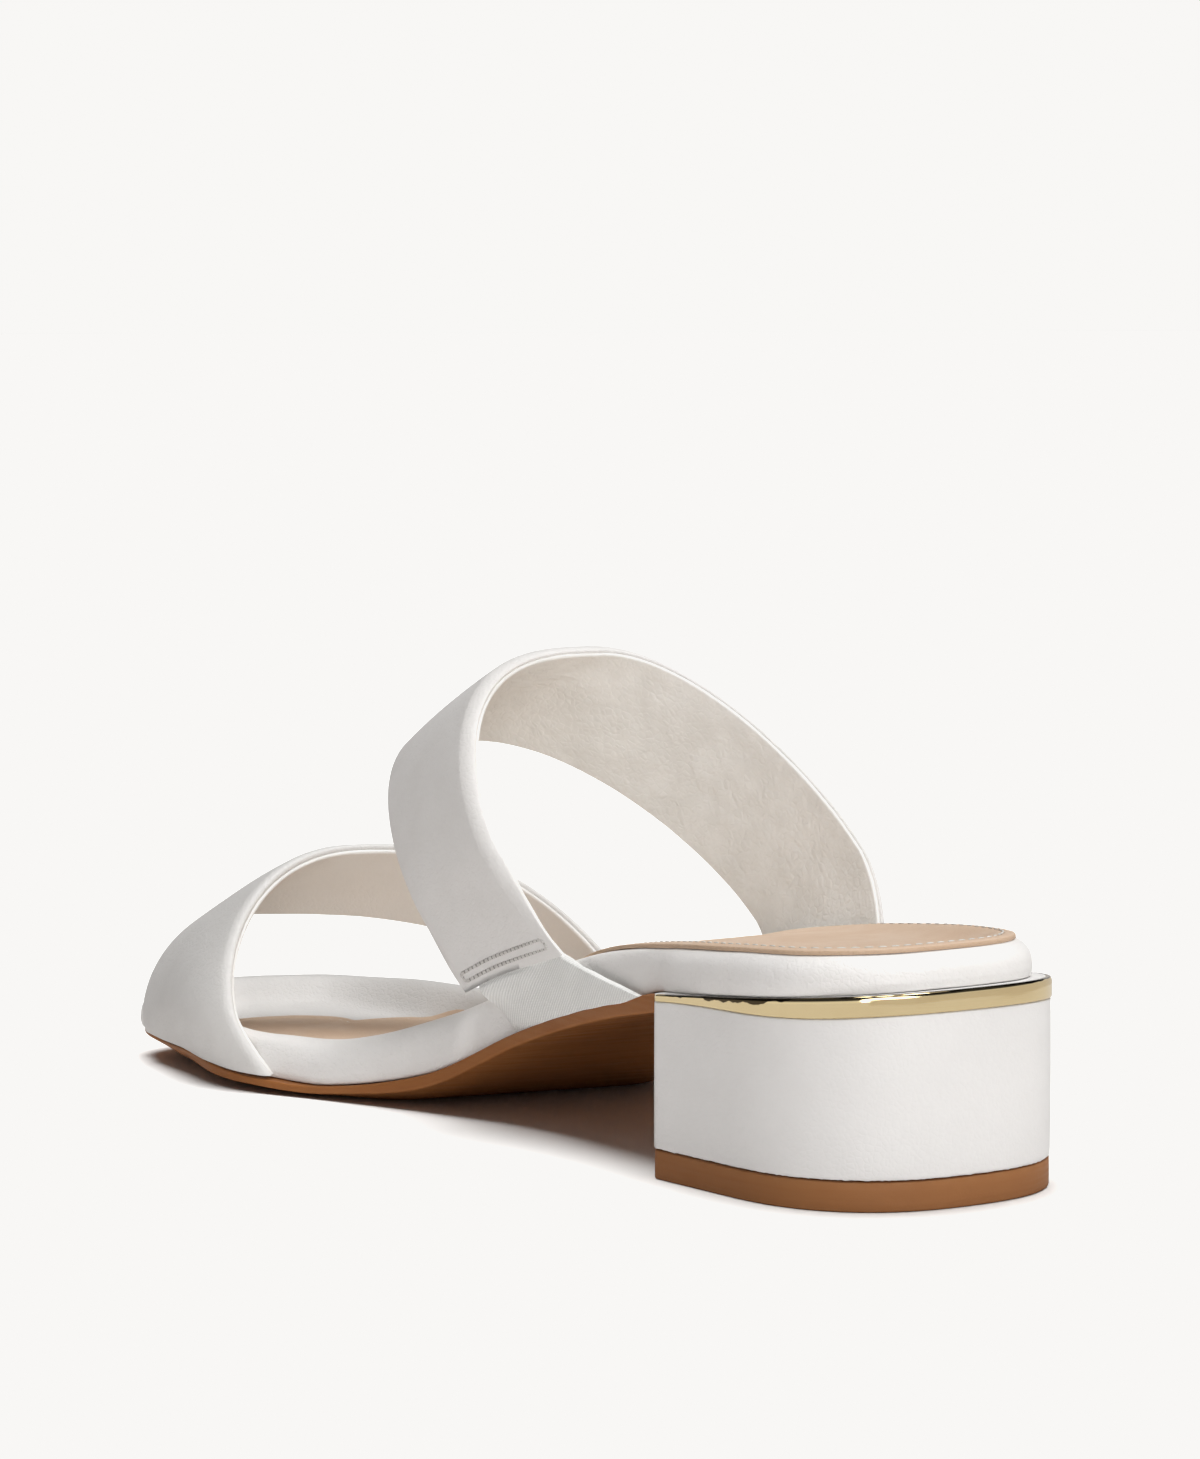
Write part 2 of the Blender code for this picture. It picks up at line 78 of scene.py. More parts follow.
Height = Callable[[float, float], float]
Inset = Callable[[float, float], float]
Profile = Callable[[float], float]
Loop = list[Vector]
Colour = tuple[float, float, float]
Socket = bpy.types.NodeSocket
Values = dict[str | int, object]


def smooth(x: float) -> float:
    """Eases from 0 to 1 while x goes from 0 to 1."""
    x = min(max(x, 0.0), 1.0)
    return x * x * (3 - 2 * x)


def ramp(x: float, start: float, full: float) -> float:
    """Eases from 0 to 1 while x goes from start to full."""
    return smooth((x - start) / (full - start))


def in_world(spot: Vector) -> Vector:
    """Turns a point of the sandal (along, across, height) into metres of the world frame."""
    return Vector(((spot.y - CENTRE_ACROSS) * MM, (CENTRE_ALONG - spot.x) * MM, spot.z * MM))


def in_shoe(point: Vector) -> Vector:
    """Turns a point of the world frame into (along, across, height) in millimetres."""
    return Vector((CENTRE_ALONG - point.y / MM, point.x / MM + CENTRE_ACROSS, point.z / MM))


def spline(a: Vector, b: Vector, c: Vector, d: Vector, t: float) -> Vector:
    """Point at share t of the centripetal curve that runs from b to c.

    Args:
        a: Point before the run.
        b: Start of the run.
        c: End of the run.
        d: Point after the run.
        t: Share of the run, 0 to 1.

    Returns:
        The point on the curve.
    """
    ta, tb = 0.0, (b - a).length ** 0.5
    tc = tb + (c - b).length ** 0.5
    td = tc + (d - c).length ** 0.5
    x = tb + t * (tc - tb)
    ab = a * ((tb - x) / (tb - ta)) + b * ((x - ta) / (tb - ta))
    bc = b * ((tc - x) / (tc - tb)) + c * ((x - tb) / (tc - tb))
    cd = c * ((td - x) / (td - tc)) + d * ((x - tc) / (td - tc))
    abc = ab * ((tc - x) / (tc - ta)) + bc * ((x - ta) / (tc - ta))
    bcd = bc * ((td - x) / (td - tb)) + cd * ((x - tb) / (td - tb))
    return abc * ((tc - x) / (tc - tb)) + bcd * ((x - tb) / (tc - tb))


def evenly(path: Sequence[Vector], steps: int) -> Loop:
    """The same path as steps + 1 evenly spaced points.

    Args:
        path: Points of the path, in order.
        steps: Number of equal runs wanted.

    Returns:
        The evenly spaced points, both ends included.
    """
    runs = [0.0]
    for a, b in zip(path, path[1:]):
        runs.append(runs[-1] + (b - a).length)
    out, k = [], 0
    for step in range(steps + 1):
        run = runs[-1] * step / steps
        while k < len(path) - 2 and runs[k + 1] < run:
            k += 1
        t = (run - runs[k]) / max(runs[k + 1] - runs[k], 1e-9)
        out.append(path[k].lerp(path[k + 1], min(t, 1.0)))
    return out


class Side(Enum):
    """The two sides of the foot; the value is the sign of across."""

    INNER = 1
    OUTER = -1

    @property
    def column(self) -> str:
        """Name of the last's half width on this side."""
        return self.name.lower()

    @property
    def other(self) -> "Side":
        """The opposite side."""
        return Side(-self.value)


class Plan:
    """A closed outline in plan as two paired halves, which can be grown and inset."""

    def __init__(self, inner: Loop, outer: Loop, back_margin: float = 24, toe_margin: float = 42) -> None:
        """Pairs the halves across a spine.

        Args:
            inner: Inner half, from the heel to the toe.
            outer: Outer half, of the same count.
            back_margin: Distance of the spine's start from the back.
            toe_margin: Distance of the spine's end from the toe.
        """
        self.inner, self.outer = inner, outer
        low, high = inner[0].x + back_margin, inner[-1].x - toe_margin
        middles = [(a + b) / 2 for a, b in zip(inner, outer)]
        kept = [m for m in middles if low < m.x < high]
        ends = (Vector((low, kept[0].y)), Vector((high, kept[-1].y)))
        self.spine = [ends[0] if m.x <= low else ends[1] if m.x >= high else m for m in middles]

    def points(self, inset: Inset) -> Loop:
        """The outline moved inwards by inset(along, across) millimetres, as one loop."""
        halves = []
        for half in (self.inner, self.outer):
            moved = []
            for point, spine in zip(half, self.spine):
                way = spine - point
                moved.append(point + way * min(inset(point.x, point.y) / way.length, 0.94))
            halves.append(moved)
        return halves[0] + halves[1][-2:0:-1]

    def ring(self, inset: Inset, height: Height) -> Loop:
        """The inset outline at the heights that height(along, across) gives."""
        return [Vector((p.x, p.y, height(p.x, p.y))) for p in self.points(inset)]

    def spine_ring(self, height: Height) -> Loop:
        """The spine walked out and back, which closes a surface along the middle."""
        return [Vector((p.x, p.y, height(p.x, p.y))) for p in self.spine + self.spine[-2:0:-1]]


@dataclass(frozen=True)
class Row:
    """One cross-section of the last: half widths, underside, rim crest, outer tilt and depth of the dish."""

    along: float
    inner: float
    outer: float
    under: float
    crest: float
    tilt: float
    dish: float


@dataclass(frozen=True)
class Last:
    """The foot shape that every upper and sole piece follows.

    ball_skew: how much further back the outer ball lies, growing over skew_run along the foot and over
    skew_across from the inner to the outer side; seat_ease: run over which the heel's seat eases out;
    pillow: swelling and thinning of the rolled rim, each over its own run; roll_tall: height of the
    rolled rim for each millimetre of its radius; tilt_from, tilt_run: where the outer tilt begins and
    the width over which it grows; sole_lap: how far the sole runs back past the breast.
    """

    rows: tuple[Row, ...] = (
        Row(2.6, 15.0, 16.6, 38.2, 44.9, 0.0, 2.2),
        Row(12.8, 25.3, 26.9, 37.3, 44.4, 0.0, 2.2),
        Row(32.0, 28.0, 30.6, 35.6, 43.3, 0.0, 1.8),
        Row(58.0, 24.9, 28.8, 32.0, 40.8, 0.0, 0.8),
        Row(84.0, 21.2, 28.2, 26.4, 36.4, 0.0, 0.8),
        Row(110.0, 18.4, 31.4, 18.7, 29.0, 0.0, 4.0),
        Row(135.0, 21.2, 37.6, 8.2, 19.6, 0.0, 6.8),
        Row(160.0, 28.9, 40.6, 3.2, 11.7, 1.2, 6.2),
        Row(178.0, 35.6, 38.8, 3.55, 11.0, 1.7, 5.4),
        Row(190.0, 36.5, 35.8, 4.6, 11.2, 1.9, 5.2),
        Row(203.0, 34.5, 32.3, 5.6, 11.8, 2.0, 5.1),
        Row(217.0, 32.6, 28.0, 5.65, 12.5, 1.7, 5.1),
        Row(229.0, 31.0, 20.5, 6.4, 13.6, 0.4, 5.2),
        Row(236.5, 26.0, 9.5, 6.9, 14.2, 0.0, 5.0),
    )
    length: float = 241.0
    heel_end_across: float = -1.5
    toe_end_across: float = 9.0
    ball_skew: float = 12.0
    skew_run: tuple[float, float] = (85.0, 125.0)
    skew_across: tuple[float, float] = (20.0, -37.0)
    breast: float = 52.5
    seat_ease: float = 14.0
    heel_top_back: float = 38.15
    heel_top_slope: float = -0.09
    gap: float = 0.3
    rim_radius: float = 5.0
    roll_tall: float = 0.9
    pillow: tuple[float, float] = (2.5, 1.8)
    pillow_runs: tuple[tuple[float, float], ...] = ((95.0, 135.0), (158.0, 188.0))
    tilt_from: float = 15.0
    tilt_run: float = 40.0
    dish_width: float = 8.0
    welt: float = 1.0
    sole_lap: float = 1.5

    @cached_property
    def columns(self) -> dict[str, list[float]]:
        """Each column of the table as a list."""
        return {name: [getattr(row, name) for row in self.rows] for name in Row.__dataclass_fields__}

    def value(self, column: str, along: float) -> float:
        """A column of the table at a distance along the foot.

        Args:
            column: Name of a field of Row.
            along: Distance from the back of the footbed.

        Returns:
            The smoothly curved value.
        """
        knots, values = self.columns["along"], self.columns[column]
        if along <= knots[0]:
            return values[0]
        if along >= knots[-1]:
            return values[-1]
        k = max(i for i in range(len(knots) - 1) if knots[i] <= along)

        def slope(i: int) -> float:
            """Slope at a row, taken from its neighbours."""
            low, high = max(i - 1, 0), min(i + 1, len(knots) - 1)
            return (values[high] - values[low]) / (knots[high] - knots[low])

        span = knots[k + 1] - knots[k]
        t = (along - knots[k]) / span
        return (
            values[k] * (1 + 2 * t) * (1 - t) ** 2
            + slope(k) * span * t * (1 - t) ** 2
            + values[k + 1] * t * t * (3 - 2 * t)
            + slope(k + 1) * span * t * t * (t - 1)
        )

    def level(self, column: str, along: float, across: float) -> float:
        """A height, read further forward on the outer side, where the ball lies further back."""
        inner, outer = self.skew_across
        eased = ramp(along, *self.skew_run)
        share = min(max((inner - across) / (inner - outer), 0.0), 1.0)
        return self.value(column, along + self.ball_skew * eased * share)

    def heel_top(self, along: float) -> float:
        """Height of the sloping top of the heel."""
        return self.heel_top_back + self.heel_top_slope * along

    def under(self, along: float, across: float) -> float:
        """Underside of the footbed: the heel seat, easing into the last's own line before the breast."""
        seat = self.heel_top(along) + self.gap
        own = self.level("under", along, across)
        return seat + (own - seat) * ramp(along, self.breast, self.breast + self.seat_ease)

    def roll(self, along: float) -> float:
        """Radius of the rolled rim, which is fullest just behind the ball."""
        rise, fall = (swell * ramp(along, *run) for swell, run in zip(self.pillow, self.pillow_runs))
        return self.rim_radius + rise - fall

    def top(self, inset: float, along: float, across: float) -> float:
        """Surface of the footbed at a distance in from its edge: rolled rim, then the dish."""
        crest = self.level("crest", along, across)
        floor = crest - self.level("dish", along, across)
        crest += self.level("tilt", along, across) * smooth((self.tilt_from - across) / self.tilt_run)
        roll = self.roll(along)
        if inset < roll:
            out = 1 - inset / roll
            return crest - self.roll_tall * roll * (1 - math.sqrt(1 - out * out))
        return crest + (floor - crest) * smooth((inset - roll) / self.dish_width)

    def hollow(self, along: float, across: float) -> float:
        """The dish's own level, well in from the rim."""
        return self.top(math.inf, along, across)

    def side_path(self, side: Side) -> Loop:
        """Half of the outline in plan, from the back of the heel to the tip of the toe."""
        points = [Vector((0.0, self.heel_end_across))]
        points += [Vector((row.along, side.value * getattr(row, side.column))) for row in self.rows]
        points.append(Vector((self.length, self.toe_end_across)))
        ends = (self.rows[0], self.rows[-1])
        beyond = [Vector((row.along, -side.value * getattr(row, side.other.column))) for row in ends]
        guide = [beyond[0], *points, beyond[1]]
        fine = []
        for a, b, c, d in zip(guide, guide[1:], guide[2:], guide[3:]):
            fine += [spline(a, b, c, d, k / 16) for k in range(16)]
        return [*fine, points[-1]]

    def plan(self, steps: int) -> Plan:
        """The footbed's outline in plan."""
        return Plan(evenly(self.side_path(Side.INNER), steps), evenly(self.side_path(Side.OUTER), steps))

    def sole_plan(self, steps: int) -> Plan:
        """The footbed's plan from just inside the heel breast to the toe, closed straight across."""
        start = self.breast - self.sole_lap + self.welt
        halves = []
        for side in Side:
            path = [p for p in self.side_path(side) if p.x > start + 0.5]
            corner = Vector((start, side.value * self.value(side.column, start)))
            straight = [Vector((start, corner.y * k / 8)) for k in range(8)]
            halves.append(straight + evenly([corner, *path], steps - 8))
        return Plan(halves[0], halves[1])


@dataclass(frozen=True)
class Crease:
    """A soft trough (or, with a negative depth, a ridge) between two points of the sandal."""

    start: tuple[float, float, float]
    end: tuple[float, float, float]
    width: float
    depth: float

    def push(self, spot: Vector) -> float:
        """How far the surface sinks at a point, fading out to the sides and towards both ends."""
        a, b = Vector(self.start), Vector(self.end)
        run = b - a
        share = min(max((spot - a).dot(run) / run.length_squared, 0.0), 1.0)
        off = (spot - a - run * share).length / self.width
        if off > 3.0:
            return 0.0
        return self.depth * math.exp(-off * off) * (0.35 + 0.65 * math.sin(math.pi * share))


class Shell:
    """A surface grown loop by loop, and the object that it becomes."""

    def __init__(self, loop: Loop) -> None:
        """Starts the surface from a closed loop of points of the sandal."""
        self.mesh = bmesh.new()
        self.order = self.mesh.verts.layers.int.new("order")
        self.verts = bmesh.ops.create_circle(self.mesh, segments=len(loop), radius=1.0)["verts"]
        for number, vert in enumerate(self.verts):
            vert[self.order] = number
            vert.co = in_world(loop[number])
        self.rim = list(self.mesh.edges)
        self.first = self.rim

    def grow(self, loop: Loop, finishes: Sequence[int] | int = 0) -> None:
        """Extrudes the open edge to the next loop.

        Args:
            loop: Points of the sandal, as many as the first loop had.
            finishes: Number of the finish for the new faces, or one for each point of the loop.
        """
        grown = bmesh.ops.extrude_edge_only(self.mesh, edges=self.rim)["geom"]
        self.verts = [g for g in grown if isinstance(g, bmesh.types.BMVert)]
        fresh = set(self.verts)
        self.rim = [g for g in grown if isinstance(g, bmesh.types.BMEdge) and fresh.issuperset(g.verts)]
        for vert in self.verts:
            vert.co = in_world(loop[vert[self.order]])
        for face in (g for g in grown if isinstance(g, bmesh.types.BMFace)):
            if isinstance(finishes, int):
                face.material_index = finishes
            else:
                orders = sorted({vert[self.order] for vert in face.verts})
                wraps = orders[-1] - orders[0] > 1
                face.material_index = finishes[orders[-1] if wraps else orders[0]]

    def cap(self, rim: list[bmesh.types.BMEdge], bevel: float = 0.0, faces: int = 0, turns: int = 0) -> None:
        """Fills an open end, and softens its edge.

        Args:
            rim: Edges of the open end.
            bevel: Radius of the softened edge.
            faces: Edges along each face of a layer's section, which are joined across; 0 for other sections.
            turns: Half the edges round each rounded edge of a layer's section.
        """
        open_edges = rim
        if faces:
            far = faces + 2 * turns
            facing = [
                edge for side in (range(faces + 1), range(far, far + faces + 1)) for edge in rim
                if all(vert[self.order] in side for vert in edge.verts)
            ]
            joined = bmesh.ops.bridge_loops(self.mesh, edges=facing)["edges"]
            open_edges = [edge for edge in (*rim, *joined) if edge.is_boundary]
        bmesh.ops.holes_fill(self.mesh, edges=open_edges)
        if bevel:
            bmesh.ops.bevel(
                self.mesh, geom=rim, offset=bevel * MM, offset_type="OFFSET", segments=3,
                affect="EDGES", profile=0.5, material=-1, clamp_overlap=True,
            )

    def close(self, bevel: float = 0.0, faces: int = 0, turns: int = 0) -> "Shell":
        """Fills both ends, as cap() does, and returns the shell."""
        for rim in (self.first, self.rim):
            self.cap([edge for edge in rim if edge.is_valid], bevel, faces, turns)
        return self

    def weld(self) -> None:
        """Joins points that coincide and turns every face outwards."""
        bmesh.ops.remove_doubles(self.mesh, verts=self.mesh.verts, dist=0.004 * MM)
        bmesh.ops.recalc_face_normals(self.mesh, faces=self.mesh.faces)

    def press(self, creases: Sequence[Crease], ripple: float = 0.0, wave: float = 14.0) -> "Shell":
        """Sinks the creases into the surface and gives it the slight unevenness of worked leather.

        Args:
            creases: Troughs and ridges, in the sandal's own sizes.
            ripple: Greatest unevenness.
            wave: Size of one wave of the unevenness.

        Returns:
            The shell.
        """
        self.weld()
        self.mesh.normal_update()
        moves = []
        for vert in self.mesh.verts:
            spot = in_shoe(vert.co)
            sink = sum(crease.push(spot) for crease in creases)
            if ripple:
                sink += ripple * noise.noise(spot / wave)
            moves.append(vert.normal * (-sink * MM))
        for vert, move in zip(self.mesh.verts, moves):
            vert.co += move
        return self

    def piece(self, name: str, finishes: Sequence[bpy.types.Material]) -> bpy.types.Object:
        """Turns the surface into a smooth-shaded object that rides on the sandal.

        Args:
            name: Name of the piece.
            finishes: Materials, in the order of the face numbers.

        Returns:
            The object.
        """
        self.weld()
        return piece_of(self.mesh, name, finishes)


def object_of(mesh: bmesh.types.BMesh, name: str, finishes: Sequence[bpy.types.Material]) -> bpy.types.Object:
    """Turns a bmesh into an object of the scene.

    Args:
        mesh: The finished mesh, in metres of the world frame.
        name: Name of the object.
        finishes: Materials, in the order of the face numbers.

    Returns:
        The object.
    """
    data = bpy.data.meshes.new(name)
    mesh.to_mesh(data)
    mesh.free()
    for finish in finishes:
        data.materials.append(finish)
    obj = bpy.data.objects.new(name, data)
    bpy.context.scene.collection.objects.link(obj)
    return obj


def piece_of(mesh: bmesh.types.BMesh, name: str, finishes: Sequence[bpy.types.Material]) -> bpy.types.Object:
    """Turns a bmesh into a smooth-shaded object that rides on the sandal.

    Args:
        mesh: The finished mesh, in metres of the world frame.
        name: Name of the piece.
        finishes: Materials, in the order of the face numbers.

    Returns:
        The object.
    """
    for face in mesh.faces:
        face.smooth = True
    obj = object_of(mesh, name, finishes)
    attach(obj, "root")
    LOG.info("%s: %d faces", name, len(obj.data.polygons))
    return obj


class Board:
    """Adds nodes to one node tree and joins them."""

    def __init__(self, tree: bpy.types.NodeTree) -> None:
        """Works on the given tree."""
        self.tree = tree

    def fill(self, node: bpy.types.Node, values: Values) -> None:
        """Sets a node's inputs.

        Args:
            node: The node.
            values: Value, or socket to be joined, for each input.
        """
        for key, value in values.items():
            if isinstance(value, Socket):
                self.tree.links.new(value, node.inputs[key])
            else:
                node.inputs[key].default_value = value

    def add(self, kind: str, values: Values | None = None, **settings: object) -> bpy.types.Node:
        """Adds a node.

        Args:
            kind: The node's type name.
            values: Value, or socket to be joined, for each input.
            **settings: The node's own settings.

        Returns:
            The node.
        """
        node = self.tree.nodes.new(kind)
        for key, value in settings.items():
            setattr(node, key, value)
        self.fill(node, values or {})
        return node

    def use(self, shared: bpy.types.NodeTree, where: Socket, **values: float) -> bpy.types.Node:
        """Adds one of the shared effects."""
        return self.add("ShaderNodeGroup", {"Vector": where, **values}, node_tree=shared)

    def maths(self, operation: str, a: object, b: object = 0.0) -> Socket:
        """The result of a maths node on two values or sockets."""
        return self.add("ShaderNodeMath", {0: a, 1: b}, operation=operation).outputs[0]

    def blend(self, share: object, a: object, b: object) -> Socket:
        """The colour between a and b."""
        return self.add("ShaderNodeMix", {0: share, 6: a, 7: b}, data_type="RGBA").outputs[2]

    def spread(self, value: object, low: float, high: float, to_low: float, to_high: float) -> Socket:
        """A value moved smoothly from one range to another and kept inside it."""
        values = {0: value, 1: low, 2: high, 3: to_low, 4: to_high}
        return self.add("ShaderNodeMapRange", values, interpolation_type="SMOOTHSTEP").outputs[0]

    def speckle(self, where: Socket, scale: object, detail: float, **more: float) -> Socket:
        """The value of a noise texture."""
        values = {"Vector": where, "Scale": scale, "Detail": detail, **more}
        return self.add("ShaderNodeTexNoise", values).outputs[0]

    def warped(self, where: Socket, scale: float, amount: float) -> Socket:
        """Coordinates pushed about by a broad noise."""
        warp = self.add("ShaderNodeTexNoise", {"Vector": where, "Scale": scale, "Detail": 2.0})
        values = {0: warp.outputs["Color"], 1: (amount,) * 3}
        shift = self.add("ShaderNodeVectorMath", values, operation="MULTIPLY").outputs[0]
        return self.add("ShaderNodeVectorMath", {0: where, 1: shift}, operation="ADD").outputs[0]

    def stretched(self, where: Socket, scale: tuple[float, float, float]) -> Socket:
        """Coordinates multiplied along each axis."""
        return self.add("ShaderNodeMapping", {"Vector": where, "Scale": scale}).outputs[0]

    def bump(self, height: object, depth: float, under: Socket | None = None) -> Socket:
        """A normal from a height of the given depth in millimetres, laid over another normal."""
        values = {"Height": height, "Strength": 1.0, "Distance": depth * MM}
        if under is not None:
            values["Normal"] = under
        return self.add("ShaderNodeBump", values).outputs[0]


def rgba(colour: Colour) -> tuple[float, float, float, float]:
    """The colour with a full alpha."""
    return (*colour, 1.0)


def effect(
    name: str, inputs: dict[str, float], outputs: Sequence[str]
) -> tuple[Board, dict[str, Socket], bpy.types.Node]:
    """Starts a shader node group that works on coordinates, its input "Vector".

    Args:
        name: Name of the group.
        inputs: Default of each of its other inputs.
        outputs: Names of its outputs.

    Returns:
        The board of the group, its inputs by name and its output node.
    """
    tree = bpy.data.node_groups.new(name, "ShaderNodeTree")
    tree.interface.new_socket("Vector", in_out="INPUT", socket_type="NodeSocketVector")
    for key, default in inputs.items():
        socket = tree.interface.new_socket(key, in_out="INPUT", socket_type="NodeSocketFloat")
        socket.default_value = default
    for key in outputs:
        tree.interface.new_socket(key, in_out="OUTPUT", socket_type="NodeSocketFloat")
    board = Board(tree)
    entry, leave = board.add("NodeGroupInput"), board.add("NodeGroupOutput")
    return board, {key: entry.outputs[key] for key in ("Vector", *inputs)}, leave


class Effects:
    """Node groups that several finishes share, each built once."""

    def __init__(self) -> None:
        """Builds every group."""
        self.grain = self.build_grain()
        self.uneven = self.build_uneven()
        self.wrinkle = self.build_wrinkle()
        self.rub = self.build_rub()

    @staticmethod
    def build_grain() -> bpy.types.NodeTree:
        """Fine leather grain: small cells with pores between them."""
        board, into, leave = effect("leather_grain", {"Cells": 900.0, "Pores": 0.35}, ("Height", "Pore"))
        where = board.warped(into["Vector"], 260.0, 0.0012)
        values = {"Vector": where, "Scale": into["Cells"]}
        cells = board.add("ShaderNodeTexVoronoi", values, feature="DISTANCE_TO_EDGE")
        pebble = board.spread(cells.outputs["Distance"], 0.0, 0.22, 0.0, 1.0)
        fine = board.maths("MULTIPLY", board.speckle(where, into["Cells"], 3.0), 0.9)
        height = board.maths("ADD", board.maths("MULTIPLY", pebble, 0.55), fine)
        pore = board.spread(board.speckle(into["Vector"], into["Cells"], 1.0), 0.62, 0.72, 0.0, 1.0)
        board.fill(leave, {"Height": height, "Pore": board.maths("MULTIPLY", pore, into["Pores"])})
        return board.tree

    @staticmethod
    def build_uneven() -> bpy.types.NodeTree:
        """Cloudy variation of tone, from broad patches down to fine flecks."""
        board, into, leave = effect("uneven_tone", {"Patches": 60.0, "Flecks": 1200.0}, ("Tone", "Fleck"))
        broad = board.speckle(into["Vector"], into["Patches"], 4.0, Roughness=0.6)
        fine = board.speckle(into["Vector"], into["Flecks"], 2.0)
        tone, fleck = board.spread(broad, 0.3, 0.7, 0.0, 1.0), board.spread(fine, 0.35, 0.75, 0.0, 1.0)
        board.fill(leave, {"Tone": tone, "Fleck": fleck})
        return board.tree

    @staticmethod
    def build_wrinkle() -> bpy.types.NodeTree:
        """Shallow wandering wrinkles."""
        board, into, leave = effect("soft_wrinkles", {"Folds": 150.0}, ("Height",))
        where = board.warped(into["Vector"], 70.0, 0.012)
        folds = board.speckle(where, into["Folds"], 3.0, Roughness=0.55)
        ridge = board.maths("ABSOLUTE", board.maths("SUBTRACT", folds, 0.5))
        crest = board.spread(ridge, 0.0, 0.12, 0.0, 0.6)
        board.fill(leave, {"Height": board.maths("ADD", crest, board.maths("MULTIPLY", folds, 0.8))})
        return board.tree

    @staticmethod
    def build_rub() -> bpy.types.NodeTree:
        """Where an outer edge is rubbed: sharp outward edges, broken up by noise."""
        board, into, leave = effect("rubbed_edge", {"Start": 0.52, "Full": 0.6}, ("Rub",))
        point = board.add("ShaderNodeNewGeometry").outputs["Pointiness"]
        values = {0: point, 1: into["Start"], 2: into["Full"], 3: 0.0, 4: 1.0}
        edge = board.add("ShaderNodeMapRange", values).outputs[0]
        patch = board.spread(board.speckle(into["Vector"], 240.0, 4.0), 0.35, 0.65, 0.25, 1.0)
        board.fill(leave, {"Rub": board.maths("MULTIPLY", edge, patch)})
        return board.tree


def start_finish(name: str) -> tuple[bpy.types.Material, Board, bpy.types.Node, Socket]:
    """Starts a material.

    Args:
        name: Name of the material.

    Returns:
        The material, its board, its Principled BSDF and the socket of its object coordinates.
    """
    made = bpy.data.materials.new(name)
    made.use_nodes = True
    board = Board(made.node_tree)
    shader = made.node_tree.nodes["Principled BSDF"]
    return made, board, shader, board.add("ShaderNodeTexCoord").outputs["Object"]


@dataclass(frozen=True)
class Finish:
    """A procedural material that varies between a base and a shade."""

    name: str
    base: Colour
    shade: Colour

    def build(self, effects: Effects) -> bpy.types.Material:
        """Makes the material.

        Args:
            effects: The shared node groups.

        Returns:
            The material.
        """
        made, board, shader, where = start_finish(self.name)
        board.fill(shader, self.inputs(board, where, effects))
        return made

    def inputs(self, board: Board, where: Socket, effects: Effects) -> Values:
        """Works out the shader's inputs.

        Args:
            board: The material's board.
            where: Object coordinates.
            effects: The shared node groups.

        Returns:
            Value or socket of each input.
        """
        raise NotImplementedError

    def shaded(self, board: Board, share: Socket, over: Socket | None = None) -> Socket:
        """The base, or a colour already mixed, blended towards the shade."""
        return board.blend(share, rgba(self.base) if over is None else over, rgba(self.shade))


@dataclass(frozen=True)
class Leather(Finish):
    """Pigmented leather: fine grain, soft wrinkles, uneven tone and rubbed edges.

    cells, folds, patches: scale of the grain, of the wrinkles and of the uneven tone; grain, wrinkle:
    their depth in millimetres; mottle, pores, painted_shade: strength of the uneven tone, of the pores and of
    the soft darker patch of painted shade where the straps shade the forefoot; painted_shade_middle: its
    middle as (along, across, height); painted_shade_reach: its reach across and along, in metres.
    """

    rubbed: Colour
    roughness: float = 0.5
    specular: float = 0.4
    cells: float = 900.0
    grain: float = 0.05
    folds: float = 150.0
    wrinkle: float = 0.05
    patches: float = 60.0
    mottle: float = 0.5
    pores: float = 0.2
    painted_shade: float = 0.0
    painted_shade_middle: tuple[float, float, float] = (222.0, -26.0, 8.0)
    painted_shade_reach: tuple[float, float] = (0.045, 0.062)

    def painted_shade_patch(self, board: Board, where: Socket) -> Socket:
        """Share of the soft darker patch of painted shade that the straps cast over the forefoot.

        Args:
            board: The material's board.
            where: Object coordinates.

        Returns:
            The share, from 0 to painted_shade.
        """
        size = (1 / self.painted_shade_reach[0], 1 / self.painted_shade_reach[1], 1.0)
        shift = tuple(-place * scale for place, scale in zip(in_world(Vector(self.painted_shade_middle)), size))
        near = board.add("ShaderNodeMapping", {"Vector": where, "Location": shift, "Scale": size})
        patch = board.add("ShaderNodeTexGradient", {"Vector": near.outputs[0]}, gradient_type="SPHERICAL")
        return board.spread(patch.outputs["Fac"], 0.0, 0.35, 0.0, self.painted_shade)

    def inputs(self, board: Board, where: Socket, effects: Effects) -> Values:
        """Works out the shader's inputs.

        Args:
            board: The material's board.
            where: Object coordinates.
            effects: The shared node groups.

        Returns:
            Value or socket of each input.
        """
        grain = board.use(effects.grain, where, Cells=self.cells, Pores=self.pores)
        uneven = board.use(effects.uneven, where, Patches=self.patches)
        wrinkle = board.use(effects.wrinkle, where, Folds=self.folds)
        rub = board.use(effects.rub, where).outputs["Rub"]
        tone, fleck = uneven.outputs["Tone"], uneven.outputs["Fleck"]
        colour = self.shaded(board, board.maths("MULTIPLY", tone, self.mottle))
        colour = self.shaded(board, board.maths("MULTIPLY", fleck, 0.25 * self.mottle), colour)
        colour = self.shaded(board, grain.outputs["Pore"], colour)
        colour = board.blend(board.maths("MULTIPLY", rub, 0.5), colour, rgba(self.rubbed))
        # Painted shade: a soft darker patch where the straps shade the forefoot.
        if self.painted_shade:
            painted_shade_colour = rgba(tuple(0.6 * part for part in self.shade))
            colour = board.blend(self.painted_shade_patch(board, where), colour, painted_shade_colour)
        creased = board.bump(wrinkle.outputs["Height"], self.wrinkle)
        return {
            "Base Color": colour,
            "Roughness": board.spread(tone, 0.0, 1.0, self.roughness - 0.05, self.roughness + 0.07),
            "Specular IOR Level": self.specular,
            "Normal": board.bump(grain.outputs["Height"], self.grain, creased),
        }


